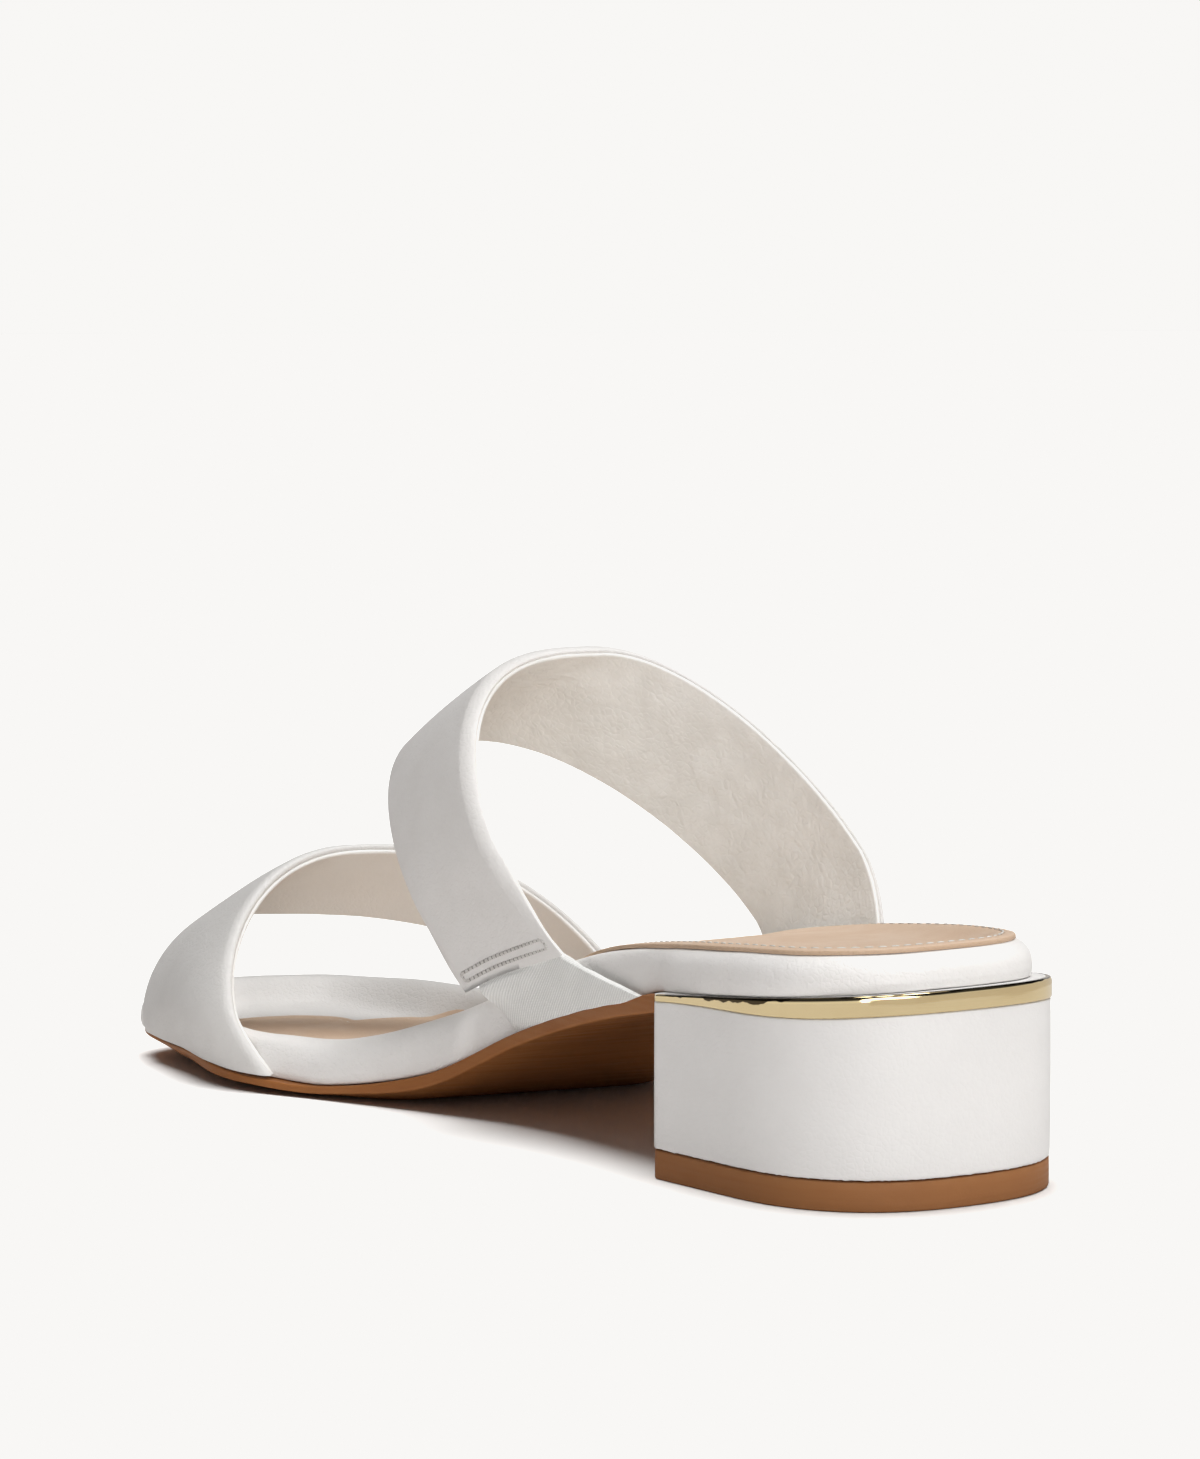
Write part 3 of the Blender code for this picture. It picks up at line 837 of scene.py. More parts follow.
@dataclass(frozen=True)
class Resin(Finish):
    """Moulded brown sole material: satin, faintly brushed, paler where its edges are rubbed."""

    rubbed: Colour
    roughness: float = 0.42
    specular: float = 0.5
    streaks: float = 0.04

    def inputs(self, board: Board, where: Socket, effects: Effects) -> Values:
        """Works out the shader's inputs.

        Args:
            board: The material's board.
            where: Object coordinates.
            effects: The shared node groups.

        Returns:
            Value or socket of each input.
        """
        uneven = board.use(effects.uneven, where, Patches=45.0)
        rub = board.use(effects.rub, where, Start=0.515, Full=0.58).outputs["Rub"]
        lines = board.speckle(board.stretched(where, (60.0, 60.0, 1400.0)), 1.0, 3.0)
        colour = self.shaded(board, board.maths("MULTIPLY", uneven.outputs["Tone"], 0.6))
        colour = self.shaded(board, board.spread(lines, 0.4, 0.8, 0.0, 0.3), colour)
        brushed = board.bump(lines, self.streaks)
        return {
            "Base Color": board.blend(board.maths("MULTIPLY", rub, 0.6), colour, rgba(self.rubbed)),
            "Roughness": board.spread(lines, 0.3, 0.7, self.roughness - 0.06, self.roughness + 0.1),
            "Specular IOR Level": self.specular,
            "Normal": board.bump(uneven.outputs["Fleck"], 0.01, brushed),
        }


@dataclass(frozen=True)
class Plating(Finish):
    """Polished pale gold, very slightly wavy and with hairline scratches, with a painted line of shadow and
    dark reflection along its top edge.

    painted_gap_shadow: colour of the painted shadow and dark reflection along the band's top edge, under the
    footbed; top_slope: rise of that edge for each millimetre towards the back; top_middle: its height where
    the world's Y is 0; shadow_start, shadow_low: world Y between which the painted line opens from the front,
    and between which it narrows to the back.
    """

    name: str = "pale_gold"
    base: Colour = (0.87, 0.71, 0.42)
    shade: Colour = (0.79, 0.62, 0.34)
    painted_gap_shadow: Colour = (0.03, 0.018, 0.008)
    top_slope: float = 0.09
    top_middle: float = 27.34
    shadow_start: tuple[float, float] = (0.070, 0.077)
    shadow_low: tuple[float, float] = (0.099, 0.110)

    def top_line(self, board: Board, where: Socket) -> Socket:
        """Share of the painted shadow and dark reflection, an uneven line along the top edge of the band, at
        the sides of the heel.

        Args:
            board: The material's board.
            where: Object coordinates.

        Returns:
            The share.
        """
        values = {0: where, 1: (0.0, self.top_slope / MM, -1 / MM)}
        fall = board.add("ShaderNodeVectorMath", values, operation="DOT_PRODUCT").outputs["Value"]
        below = board.maths("ADD", fall, self.top_middle)
        back = board.add("ShaderNodeSeparateXYZ", {0: where}).outputs[1]
        blot = board.speckle(board.stretched(where, (150.0, 150.0, 10.0)), 1.0, 3.0)
        tall = board.spread(blot, 0.40, 0.66, 0.25, 1.25)
        tall = board.maths("MULTIPLY", tall, board.spread(back, *self.shadow_low, 1.0, 0.3))
        tall = board.maths("MULTIPLY", tall, board.spread(back, *self.shadow_start, 0.0, 1.0))
        return board.spread(board.maths("SUBTRACT", tall, below), -0.05, 0.05, 0.0, 0.94)

    def inputs(self, board: Board, where: Socket, effects: Effects) -> Values:
        """Works out the shader's inputs.

        Args:
            board: The material's board.
            where: Object coordinates.
            effects: The shared node groups.

        Returns:
            Value or socket of each input.
        """
        tone = board.use(effects.uneven, where, Patches=90.0).outputs["Tone"]
        lines = board.speckle(board.stretched(where, (40.0, 40.0, 5000.0)), 1.0, 2.0)
        colour = self.shaded(board, board.maths("MULTIPLY", tone, 0.35))
        wavy = board.bump(board.speckle(where, 110.0, 1.0), 0.16)
        return {
            # Painted shadow and dark reflection along the band's top edge, where it meets the footbed.
            "Base Color": board.blend(self.top_line(board, where), colour, rgba(self.painted_gap_shadow)),
            "Roughness": board.spread(lines, 0.4, 0.8, 0.07, 0.16),
            "Metallic": 1.0,
            "Normal": board.bump(lines, 0.0015, wavy),
        }


@dataclass(frozen=True)
class Webbing(Finish):
    """Finely woven elastic: fine diagonal ribs crossed by the lie of the rubber threads.

    pitch, depth: spacing and height of the ribs, in millimetres; lies: turn of the ribs and of the rubber
    threads, in radians.
    """

    name: str = "elastic_finish"
    base: Colour = (0.97, 0.975, 0.95)
    shade: Colour = (0.83, 0.835, 0.81)
    pitch: float = 0.70
    depth: float = 0.10
    lies: tuple[float, float] = (0.62, -0.95)

    def inputs(self, board: Board, where: Socket, effects: Effects) -> Values:
        """Works out the shader's inputs.

        Args:
            board: The material's board.
            where: Object coordinates.
            effects: The shared node groups.

        Returns:
            Value or socket of each input.
        """
        uneven = board.use(effects.uneven, where, Patches=120.0)
        scale = ONE_BAND / (self.pitch * MM)
        ribs = []
        for lie in self.lies:
            turned = board.add("ShaderNodeMapping", {"Vector": where, "Rotation": (lie, 0.0, 0.0)})
            values = {"Vector": turned.outputs[0], "Scale": scale, "Distortion": 0.6, "Detail": 1.0}
            ribs.append(board.add("ShaderNodeTexWave", values, bands_direction="Y").outputs["Fac"])
        cloth = board.maths("MULTIPLY", ribs[0], board.spread(ribs[1], 0.0, 1.0, 0.55, 1.0))
        colour = self.shaded(board, board.spread(cloth, 0.0, 0.55, 1.0, 0.0))
        fuzz = board.bump(uneven.outputs["Fleck"], 0.03)
        return {
            "Base Color": self.shaded(board, board.maths("MULTIPLY", uneven.outputs["Tone"], 0.3), colour),
            "Roughness": board.spread(cloth, 0.0, 1.0, 0.9, 0.72),
            "Specular IOR Level": 0.25,
            "Sheen Weight": 0.15,
            "Normal": board.bump(cloth, self.depth, fuzz),
        }


@dataclass(frozen=True)
class Thread(Finish):
    """Twisted sewing thread.

    twist: length of one turn of the twist, in millimetres.
    """

    twist: float = 0.25

    def inputs(self, board: Board, where: Socket, effects: Effects) -> Values:
        """Works out the shader's inputs.

        Args:
            board: The material's board.
            where: Object coordinates.
            effects: The shared node groups.

        Returns:
            Value or socket of each input.
        """
        uneven = board.use(effects.uneven, where, Patches=400.0)
        values = {"Vector": where, "Scale": ONE_BAND / (self.twist * MM)}
        twist = board.add("ShaderNodeTexWave", values, bands_direction="DIAGONAL").outputs["Fac"]
        return {
            "Base Color": self.shaded(board, board.maths("MULTIPLY", uneven.outputs["Tone"], 0.7)),
            "Roughness": board.spread(uneven.outputs["Fleck"], 0.0, 1.0, 0.6, 0.75),
            "Normal": board.bump(twist, 0.05),
        }


class Finishes:
    """Every finish of the sandal, built once."""

    def __init__(self) -> None:
        """Builds the materials."""
        effects = Effects()
        # A darker copy of the instep strap's white leather: painted shade that tones down the toe strap,
        # which the lamps light more.
        self.upper = Leather(
            "toe_strap_shaded_leather", (0.72, 0.71, 0.69), (0.67, 0.655, 0.635), (0.78, 0.775, 0.76)
        ).build(effects)
        self.instep = Leather(
            "instep_finish", (0.815, 0.80, 0.78), (0.755, 0.735, 0.71), (0.86, 0.85, 0.835)
        ).build(effects)
        self.turned = Leather(
            "turned_edge", (0.83, 0.82, 0.80), (0.77, 0.75, 0.71), (0.88, 0.87, 0.85),
            roughness=0.6, grain=0.03,
        ).build(effects)
        self.lining = Leather(
            "mottled_lining", (0.84, 0.83, 0.795), (0.75, 0.735, 0.695), (0.90, 0.89, 0.865),
            roughness=0.68, specular=0.25, cells=700.0, grain=0.08, folds=110.0, wrinkle=0.15,
            patches=120.0, mottle=0.8,
        ).build(effects)
        # Darker than the instep's lining: partly its own taupe and partly painted shade under the toe strap.
        self.toe_lining = Leather(
            "smooth_lining", (0.76, 0.74, 0.70), (0.72, 0.695, 0.65), (0.80, 0.78, 0.745),
            roughness=0.62, specular=0.3, grain=0.04, wrinkle=0.04,
        ).build(effects)
        # Painted shade of the straps darkens the outer forefoot of the footbed.
        self.bed = Leather(
            "footbed_finish", (0.875, 0.86, 0.84), (0.82, 0.80, 0.775), (0.91, 0.90, 0.88),
            roughness=0.46, cells=1000.0, grain=0.06, folds=300.0, wrinkle=0.045, painted_shade=0.7,
        ).build(effects)
        self.heel = Leather(
            "heel_finish", (0.835, 0.825, 0.81), (0.79, 0.78, 0.765), (0.87, 0.865, 0.855),
            roughness=0.42, grain=0.035, wrinkle=0.03,
        ).build(effects)
        # Painted shade darkens the front of the sock, where it lies low under the straps.
        self.sock = Leather(
            "sock_finish", (0.71, 0.54, 0.405), (0.645, 0.465, 0.33), (0.74, 0.59, 0.46),
            specular=0.3, cells=1300.0, wrinkle=0.04, patches=90.0, mottle=0.7, pores=0.4, painted_shade=0.35,
        ).build(effects)
        self.sock_edge = Leather(
            "sock_cut_edge", (0.60, 0.43, 0.30), (0.50, 0.34, 0.22), (0.66, 0.50, 0.37),
            roughness=0.75, grain=0.09,
        ).build(effects)
        self.sole = Resin(
            "sole_finish", (0.345, 0.138, 0.045), (0.29, 0.108, 0.034), (0.43, 0.19, 0.07),
            specular=0.10,
        ).build(effects)
        self.lift = Resin(
            "lift_finish", (0.335, 0.146, 0.056), (0.29, 0.122, 0.046), (0.42, 0.21, 0.10),
            roughness=0.5, specular=0.10, streaks=0.02,
        ).build(effects)
        self.gold = Plating().build(effects)
        self.elastic = Webbing().build(effects)
        self.white_thread = Thread("white_thread", (0.78, 0.76, 0.72), (0.62, 0.59, 0.54)).build(effects)
        self.grey_thread = Thread("grey_thread", (0.70, 0.68, 0.65), (0.60, 0.575, 0.545)).build(effects)
        # Dark marks that sit in the needle holes: painted shade of the holes.
        self.needle_hole_shade = Thread("needle_hole_shade", (0.36, 0.34, 0.32), (0.28, 0.26, 0.24)).build(effects)


@dataclass
class Stitches:
    """A row of single stitches along a path on a surface."""

    pitch: float
    length: float
    width: float
    tall: float

    def row(
        self, mesh: bmesh.types.BMesh, path: Loop, facing: Callable[[int], Vector], between: bool = False
    ) -> None:
        """Adds the stitches to a mesh.

        Args:
            mesh: The mesh that takes the stitches.
            path: Points of the sandal that the row follows.
            facing: Outward direction of the surface at a point's number, in the sandal's own axes.
            between: Whether they stand halfway between the usual places.
        """
        run = sum((b - a).length for a, b in zip(path, path[1:]))
        spots = evenly(path, max(2, round(run / self.pitch)) * 2)
        for number in range(2 if between else 1, len(spots) - 1, 2):
            spot = spots[number]
            ahead = (in_world(spots[number + 1]) - in_world(spots[number - 1])).normalized()
            nearest = min(range(len(path)), key=lambda k, s=spot: (path[k] - s).length_squared)
            shoe_up = facing(nearest)
            up = Vector((shoe_up.y, -shoe_up.x, shoe_up.z)).normalized()
            side = up.cross(ahead).normalized()
            up = ahead.cross(side)
            turn = Matrix((ahead, side, up)).transposed().to_4x4()
            size = Matrix.Diagonal((self.length / 2 * MM, self.width / 2 * MM, self.tall / 2 * MM, 1.0))
            place = Matrix.Translation(in_world(spot)) @ turn @ size @ Matrix.Rotation(math.pi / 2, 4, "Y")
            bmesh.ops.create_uvsphere(mesh, u_segments=6, v_segments=5, radius=1.0, matrix=place)


@dataclass
class Sole:
    """Thin sole from the heel breast to the toe, flat across its middle and rounded at its edges."""

    last: Last
    edge: float = 2.66
    ball_thinning: float = 1.1
    toe_thinning: float = 0.5
    crown: float = 1.8
    clear: float = 0.2
    toe_tuck: float = 1.8
    toe_bevel: float = 2.6
    steps: int = 150

    def top(self, along: float, across: float) -> float:
        """Upper face."""
        return self.last.under(along, across) - 1.5 * self.last.gap

    def raw_bottom(self, along: float, across: float) -> float:
        """Lower face before it is cut flat by the floor."""
        thinned = self.ball_thinning * ramp(along, 135, 160) - self.toe_thinning * ramp(along, 176, 190)
        return self.last.level("under", along, across) - 1.5 * self.last.gap - self.edge + thinned

    def rim_bottom(self, along: float, across: float) -> float:
        """Lower face at its edge."""
        return max(self.clear, self.raw_bottom(along, across))

    def middle_bottom(self, along: float, across: float) -> float:
        """Lower face across its middle."""
        return max(0.0, self.raw_bottom(along, across) - self.crown * ramp(along, 120, 150))

    def out(self, distance: float, bevelled: float = 0.0) -> Inset:
        """Inset from the sole's edge, which tucks in under the toe.

        Args:
            distance: Distance in from the edge.
            bevelled: Share of the bevel under the toe.

        Returns:
            The inset from the footbed's outline.
        """

        def inset(along: float, across: float) -> float:
            """Inset at one place."""
            welt = self.last.welt - self.toe_tuck * ramp(along, 205, 233)
            return distance - welt + bevelled * self.toe_bevel * ramp(along, 190, 230)

        return inset

    def between(self, share: float) -> Height:
        """A height between the middle of the underside (0) and its edge (1)."""
        return lambda a, c: self.middle_bottom(a, c) * (1 - share) + self.rim_bottom(a, c) * share

    def above_rim(self, lift: float) -> Height:
        """A height above the edge of the underside."""
        return lambda a, c: self.rim_bottom(a, c) + lift

    def below_top(self, sink: float) -> Height:
        """A height below the upper face."""
        return lambda a, c: self.top(a, c) - sink

    def build(self, finishes: Finishes) -> None:
        """Makes the sole."""
        plan = self.last.sole_plan(self.steps)
        shell = Shell(plan.spine_ring(self.middle_bottom))
        underside = (
            (14.0, 0.0, 0.0), (9.0, 0.0, 0.0), (7.0, 0.12, 0.1), (5.0, 0.35, 0.3), (3.0, 0.62, 0.6),
            (1.6, 0.85, 0.85), (0.75, 1.0, 1.0),
        )
        for distance, share, bevelled in underside:
            shell.grow(plan.ring(self.out(distance, bevelled), self.between(share)))
        lower_edge = ((0.42, 0.04, 0.97), (0.18, 0.16, 0.9), (0.04, 0.38, 0.8), (0.0, 0.7, 0.6))
        for distance, lift, bevelled in lower_edge:
            shell.grow(plan.ring(self.out(distance, bevelled), self.above_rim(lift)))
        upper_edge = ((0.0, 0.75), (0.0, 0.4), (0.06, 0.18), (0.2, 0.04), (0.45, 0.0), (1.2, 0.0))
        for distance, sink in upper_edge:
            shell.grow(plan.ring(self.out(distance), self.below_top(sink)))
        shell.grow(plan.spine_ring(self.top))
        piece = shell.press((), ripple=0.04, wave=9.0).piece("sole", (finishes.sole,))
        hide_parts("outsole")


@dataclass
class Footbed:
    """Foam footbed with its rolled rim, covered in white leather.

    seats: side, back and front of each place where a strap or the gore passes down; seat_depth,
    seat_ease: depth of these and the run over which they begin; settle: how far the underside stands
    in the heel's seat; wall_foot: height of the wall's foot above the last's underside.
    """

    last: Last
    seats: tuple[tuple[Side, float, float], ...]
    seat_depth: float = 1.4
    seat_ease: float = 13.0
    settle: float = 0.24
    wall_foot: float = 0.61
    steps: int = 170
    creases: tuple[Crease, ...] = (
        Crease((66.0, 24.0, 37.0), (72.0, 22.8, 32.0), 1.0, 0.15),
        Crease((128.0, 19.5, 17.0), (140.0, 22.5, 14.0), 2.2, 0.20),
        Crease((150.0, -40.0, 12.0), (160.0, -41.0, 8.0), 2.0, 0.18),
        Crease((70.0, -28.5, 37.0), (78.0, -28.2, 32.0), 1.2, 0.15),
        Crease((46.0, -29.6, 41.5), (54.0, -29.2, 36.5), 1.0, 0.12),
    )

    def seat(self, along: float, across: float) -> float:
        """Depth of the shallow seats in the wall where the straps and the gore pass down."""
        depths = [0.0]
        for side, low, high in self.seats:
            if (across > 0) == (side is Side.INNER):
                depths.append(ramp(along, low - self.seat_ease, low) * smooth((high + 5 - along) / 4))
        return self.seat_depth * max(depths)

    def inset(self, distance: float) -> Inset:
        """Inset of a line on the cover at a distance in from the edge."""
        return lambda a, c: distance + self.seat(a, c) * max(0.0, 1 - distance / 3.0)

    def build(self, finishes: Finishes) -> None:
        """Makes the covered footbed."""
        plan = self.last.plan(self.steps)

        def under(lift: float) -> Height:
            """A height above the underside, which settles on the heel's seat."""
            return lambda a, c: self.last.under(a, c) - self.settle + lift

        shell = Shell(plan.spine_ring(under(0.0)))
        for distance, lift in ((2.5, 0.0), (0.9, 0.0), (0.5, 0.05), (0.22, 0.2), (0.07, 0.45), (0.0, 0.85)):
            shell.grow(plan.ring(self.inset(distance), under(lift)))

        def wall(share: float) -> Height:
            """A height between the foot of the wall (0) and the start of the rolled rim (1)."""

            def height(along: float, across: float) -> float:
                """Height at one place."""
                foot = self.last.under(along, across) + self.wall_foot
                return foot + (self.last.top(0.0, along, across) - foot) * share

            return height

        for share in (0.25, 0.5, 0.75):
            bow = -0.12 * math.sin(math.pi * share)
            shell.grow(plan.ring(self.inset(bow), wall(share)))
        distances = (
            0.0, 0.04, 0.12, 0.25, 0.45, 0.7, 1.0, 1.4, 1.9, 2.5, 3.2, 3.9, 4.5, 5.2, 6.0, 7.0, 8.0, 9.0,
            10.0, 11.2, 12.5, 14.5, 17.0, 20.0, 24.0,
        )
        for distance in distances:
            shell.grow(plan.ring(self.inset(distance), lambda a, c, d=distance: self.last.top(d, a, c)))
        shell.grow(plan.spine_ring(self.last.hollow))
        piece = shell.press(self.creases, ripple=0.10, wave=11.0).piece("footbed_cover", (finishes.bed,))
        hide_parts("footbed")


@dataclass
class Sock:
    """Tan leather sock on the footbed, cut a little inside its rim and stitched round its edge.

    inset_heel, inset_toe: distance of its edge from the footbed's at the heel and ahead of it; late: how
    much further forward the outer side widens; short: how far it ends before the toe, beginning at
    short_from on the inner and on the outer side; seam: distance of the stitching from its edge.
    """

    last: Last
    gap: float = 0.12
    thickness: float = 0.75
    inset_heel: float = 2.9
    inset_toe: float = 10.5
    short: float = 16.0
    short_from: tuple[float, float] = (216.0, 193.0)
    late: float = 55.0
    seam: float = 2.3
    steps: int = 170
    stitches: Stitches = field(default_factory=lambda: Stitches(2.4, 1.65, 0.5, 0.42))

    def edge(self, along: float, across: float) -> float:
        """Distance of the sock's edge from the footbed's edge."""
        start = 50 + self.late * smooth(-across / 20)
        sides = self.inset_heel + (self.inset_toe - self.inset_heel) * ramp(along, start, start + 90)
        inner, outer = self.short_from
        begin = inner + (outer - inner) * smooth((20 - across) / 40)
        return sides + self.short * ramp(along, begin, begin + 28)

    def ring(self, plan: Plan, distance: float, lift: float) -> Loop:
        """A loop of the sock at a distance in from its edge, lifted off the footbed."""

        def inset(along: float, across: float) -> float:
            """Inset from the footbed's edge."""
            return self.edge(along, across) + distance

        moved, edge = plan.points(inset), plan.points(lambda a, c: 0.0)
        return [
            Vector((p.x, p.y, self.last.top(inset(q.x, q.y), p.x, p.y) + self.gap + lift))
            for p, q in zip(moved, edge)
        ]

    def build(self, finishes: Finishes) -> None:
        """Makes the sock and its stitching."""
        plan = self.last.plan(self.steps)
        thick = self.thickness
        shell = Shell(plan.spine_ring(lambda a, c: self.last.hollow(a, c) + self.gap))
        for distance in (17.0, 13.0, 10.0, 8.0, 5.0, 3.0, 1.5, 0.5):
            shell.grow(self.ring(plan, distance, 0.0))
        cut_edge = ((0.08, 0.02), (0.0, 0.12), (0.0, thick - 0.22), (0.06, thick - 0.08), (0.18, thick))
        for distance, lift in cut_edge:
            shell.grow(self.ring(plan, distance, lift), 1)
        for offset in (-1.4, -0.9, -0.5, -0.2, 0.0, 0.2, 0.5, 0.9, 1.5):
            sunk = 0.20 * math.exp(-((offset / 0.42) ** 2))
            shell.grow(self.ring(plan, self.seam + offset, thick - sunk))
        for distance in (5.0, 6.5, 8.0, 10.0, 13.0, 17.0):
            shell.grow(self.ring(plan, distance, thick))
        shell.grow(plan.spine_ring(lambda a, c: self.last.hollow(a, c) + self.gap + thick))
        sock = shell.press((), ripple=0.05, wave=12.0).piece("sock", (finishes.sock, finishes.sock_edge))
        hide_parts("sock_lining")
        path = self.ring(plan, self.seam, thick - 0.06)
        for spot in path:
            spot.z -= 0.25 * ramp(spot.x, 150, 160)
        inner = self.ring(plan, self.seam + 0.8, thick)

        def facing(number: int) -> Vector:
            """Upward direction of the sock at a point of the seam."""
            ahead = path[(number + 1) % len(path)] - path[number - 1]
            up = ahead.cross(inner[number % len(path)] - path[number % len(path)])
            return up if up.z > 0 else -up

        mesh = bmesh.new()
        self.stitches.row(mesh, [*path, path[0]], facing)
        thread = piece_of(mesh, "sock_stitching", (finishes.white_thread,))


@dataclass
class Heel:
    """Block heel: leather-wrapped block with a gold band near its top, on a brown top lift.

    across: middle of the heel; overhang: how far it stands out behind the footbed; round_from: where its
    sides begin to turn to the back; fullness: how square that turn is; band_tip: height of the band at
    its front corners; band_drop: how far it lies below the heel's top; band_proud: how far it stands out;
    band_from: where it ends before the breast; seat: depth of the groove behind it.
    """

    last: Last
    half_width: float = 30.5
    across: float = -2.5
    overhang: float = 2.4
    round_from: float = 30.0
    fullness: float = 2.5
    corner: float = 2.0
    lift_height: float = 5.55
    band_height: float = 3.75
    band_tip: float = 1.3
    band_drop: float = 0.1
    band_proud: float = 0.35
    band_from: float = 50.9
    seat: float = 0.9

    def outline(self, grow: float) -> list[tuple[float, float]]:
        """D-shaped outline as (along, across): straight breast, rounded corners, full rounded back."""
        breast = self.last.breast
        half, back = self.half_width + grow, self.round_from + self.overhang + grow
        side = [(breast, (half - self.corner) * step / 10) for step in range(10)]
        for step in range(9):
            turn = math.pi / 2 * step / 8
            side.append((
                breast - self.corner * (1 - math.cos(turn)), half - self.corner * (1 - math.sin(turn))
            ))
        straight = breast - self.corner - self.round_from
        side += [(breast - self.corner - straight * step / 20, half) for step in range(1, 20)]
        for step in range(73):
            turn = math.pi / 2 * step / 72
            power = 2 / self.fullness
            side.append((self.round_from - back * math.sin(turn) ** power, half * math.cos(turn) ** power))
        loop = side + [(a, -c) for a, c in side[-2:0:-1]]
        return [(a, c + self.across) for a, c in loop]

    def ring(self, grow: float, height: Profile) -> Loop:
        """The outline at the heights that height(along) gives."""
        return [Vector((a, c, height(a))) for a, c in self.outline(grow)]

    def band_tall(self, along: float) -> float:
        """Height of the band, which tapers towards the breast."""
        return self.band_tip + (self.band_height - self.band_tip) * smooth((self.band_from - along) / 46)

    def band_top(self, along: float) -> float:
        """Top of the band."""
        return self.last.heel_top(along) - self.band_drop

    def build_lift(self, finishes: Finishes) -> None:
        """Makes the top lift that the heel stands on."""
        high = self.lift_height - self.last.gap
        shell = Shell(self.ring(-0.5, lambda a: 0.0))
        bottom = shell.first
        wall = (
            (-0.25, 0.03), (-0.08, 0.14), (0.0, 0.36), (0.02, 1.6), (0.02, 3.0), (0.0, high - 0.3),
            (-0.09, high - 0.08), (-0.3, high),
        )
        for grow, z in wall:
            shell.grow(self.ring(grow, lambda a, z=z: z))
        shell.cap(bottom)
        shell.cap(shell.rim)
        piece = shell.press((), ripple=0.03, wave=8.0).piece("top_lift_block", (finishes.lift,))
        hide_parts("top_lift")

    def groove(self, depth: float, height: Profile) -> Loop:
        """A loop of the wrap sunk into the band's seat, which ends before the breast."""
        loop = []
        for (a, c), (b, d) in zip(self.outline(0.12), self.outline(0.12 - depth)):
            share = smooth((self.band_from + 1.2 - a) / 1.2)
            loop.append(Vector((a + (b - a) * share, c + (d - c) * share, height(a))))
        return loop

    def build_block(self, finishes: Finishes) -> None:
        """Makes the wrapped block."""
        low = self.lift_height

        def foot(lift: float) -> Profile:
            """Height just above the trimmed lower edge."""
            return lambda a: low + lift

        def wall(share: float) -> Profile:
            """A height between the trimmed edge (0) and the band (1)."""
            return lambda a: low + 0.6 + (self.band_top(a) - self.band_tall(a) - 0.5 - low - 0.6) * share

        shell = Shell(self.ring(-0.9, foot(0.0)))
        bottom = shell.first
        shell.grow(self.ring(-0.35, foot(0.0)))
        for grow, lift in ((-0.05, 0.05), (0.08, 0.2)):
            loop = self.ring(grow, foot(lift))
            for spot in loop:
                spot.z += 0.2 * noise.noise(Vector((spot.x * 1.4, spot.y * 1.4, 3.0)))
            shell.grow(loop)
        for share in (0.0, 0.08, 0.2, 0.35, 0.5, 0.65, 0.8, 0.92, 1.0):
            shell.grow(self.ring(0.12 + 0.1 * math.sin(math.pi * share), wall(share)))

        def edge(lift: float, below: bool) -> Profile:
            """Height just below or just above the band."""
            if below:
                return lambda a: self.band_top(a) - self.band_tall(a) - lift
            return lambda a: self.band_top(a) + lift

        shell.grow(self.groove(0.0, edge(0.22, True)))
        shell.grow(self.groove(0.12, edge(0.10, True)))
        shell.grow(self.groove(self.seat, edge(0.06, True)))
        shell.grow(self.groove(self.seat, edge(0.03, False)))
        shell.grow(self.groove(self.seat + 0.1, edge(0.06, False)))
        for grow in (-1.15, -1.6):
            shell.grow(self.ring(grow, self.last.heel_top))
        shell.cap(bottom)
        shell.cap(shell.rim)
        creases = (
            Crease((50.0, 26.2, 31.0), (46.0, 26.2, 25.0), 1.6, 0.07),
            Crease((53.0, 26.0, 12.0), (47.0, 26.2, 9.0), 1.8, 0.06),
        )
        piece = shell.press(creases, ripple=0.07, wave=16.0).piece("heel_wrap", (finishes.heel,))
        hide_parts("heel_block")

    def build_band(self, finishes: Finishes) -> None:
        """Makes the gold band as one loop walked from a front corner round the back to the other."""
        outside, inside = self.outline(self.band_proud), self.outline(self.band_proud - 1.0)
        profile = (
            (0.0, 0.5), (0.0, 0.66), (0.02, 0.76), (0.08, 0.86), (0.19, 0.94), (0.33, 0.985), (0.50, 1.0),
            (0.95, 1.0), (1.0, 0.5), (0.95, 0.0), (0.45, 0.0), (0.24, 0.01), (0.09, 0.03), (0.02, 0.08),
            (0.0, 0.2),
        )
        sections = []
        for (a, c), (b, d) in zip(outside, inside):
            if a < self.band_from:
                tall = self.band_tall(a)
                foot = self.band_top(a) - tall
                sections.append([
                    Vector((a + (b - a) * depth, c + (d - c) * depth, foot + tall * share))
                    for depth, share in profile
                ])
        shell = Shell(sections[0])
        for section in sections[1:]:
            shell.grow(section)
        piece = shell.close().piece("gold_band", (finishes.gold,))
        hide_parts("heel_band")

    def build(self, finishes: Finishes) -> None:
        """Makes the heel."""
        self.build_lift(finishes)
        self.build_block(finishes)
        self.build_band(finishes)


@dataclass(frozen=True)
class Edge:
    """One edge of a strap, from its inner foot over the foot to its outer foot.

    inner_foot, outer_foot: where the edge meets the sole; lean: forward travel for each millimetre of
    rise; bow: extra forward travel at the top; ridge: across position of the highest point; spring:
    height the curve springs from; rise: its height above that; tuck_in, tuck_out: how far the curve
    turns under, in radians; drop: straight run beside the footbed.
    """

    inner_foot: float
    outer_foot: float
    lean: float
    bow: float
    ridge: float
    spring: float
    rise: float
    tuck_in: float
    tuck_out: float
    drop: float


@dataclass(frozen=True)
class Fullness:
    """How square a strap's arch is: on the inner side, in height and on the outer side."""

    inner: float
    height: float
    outer: float


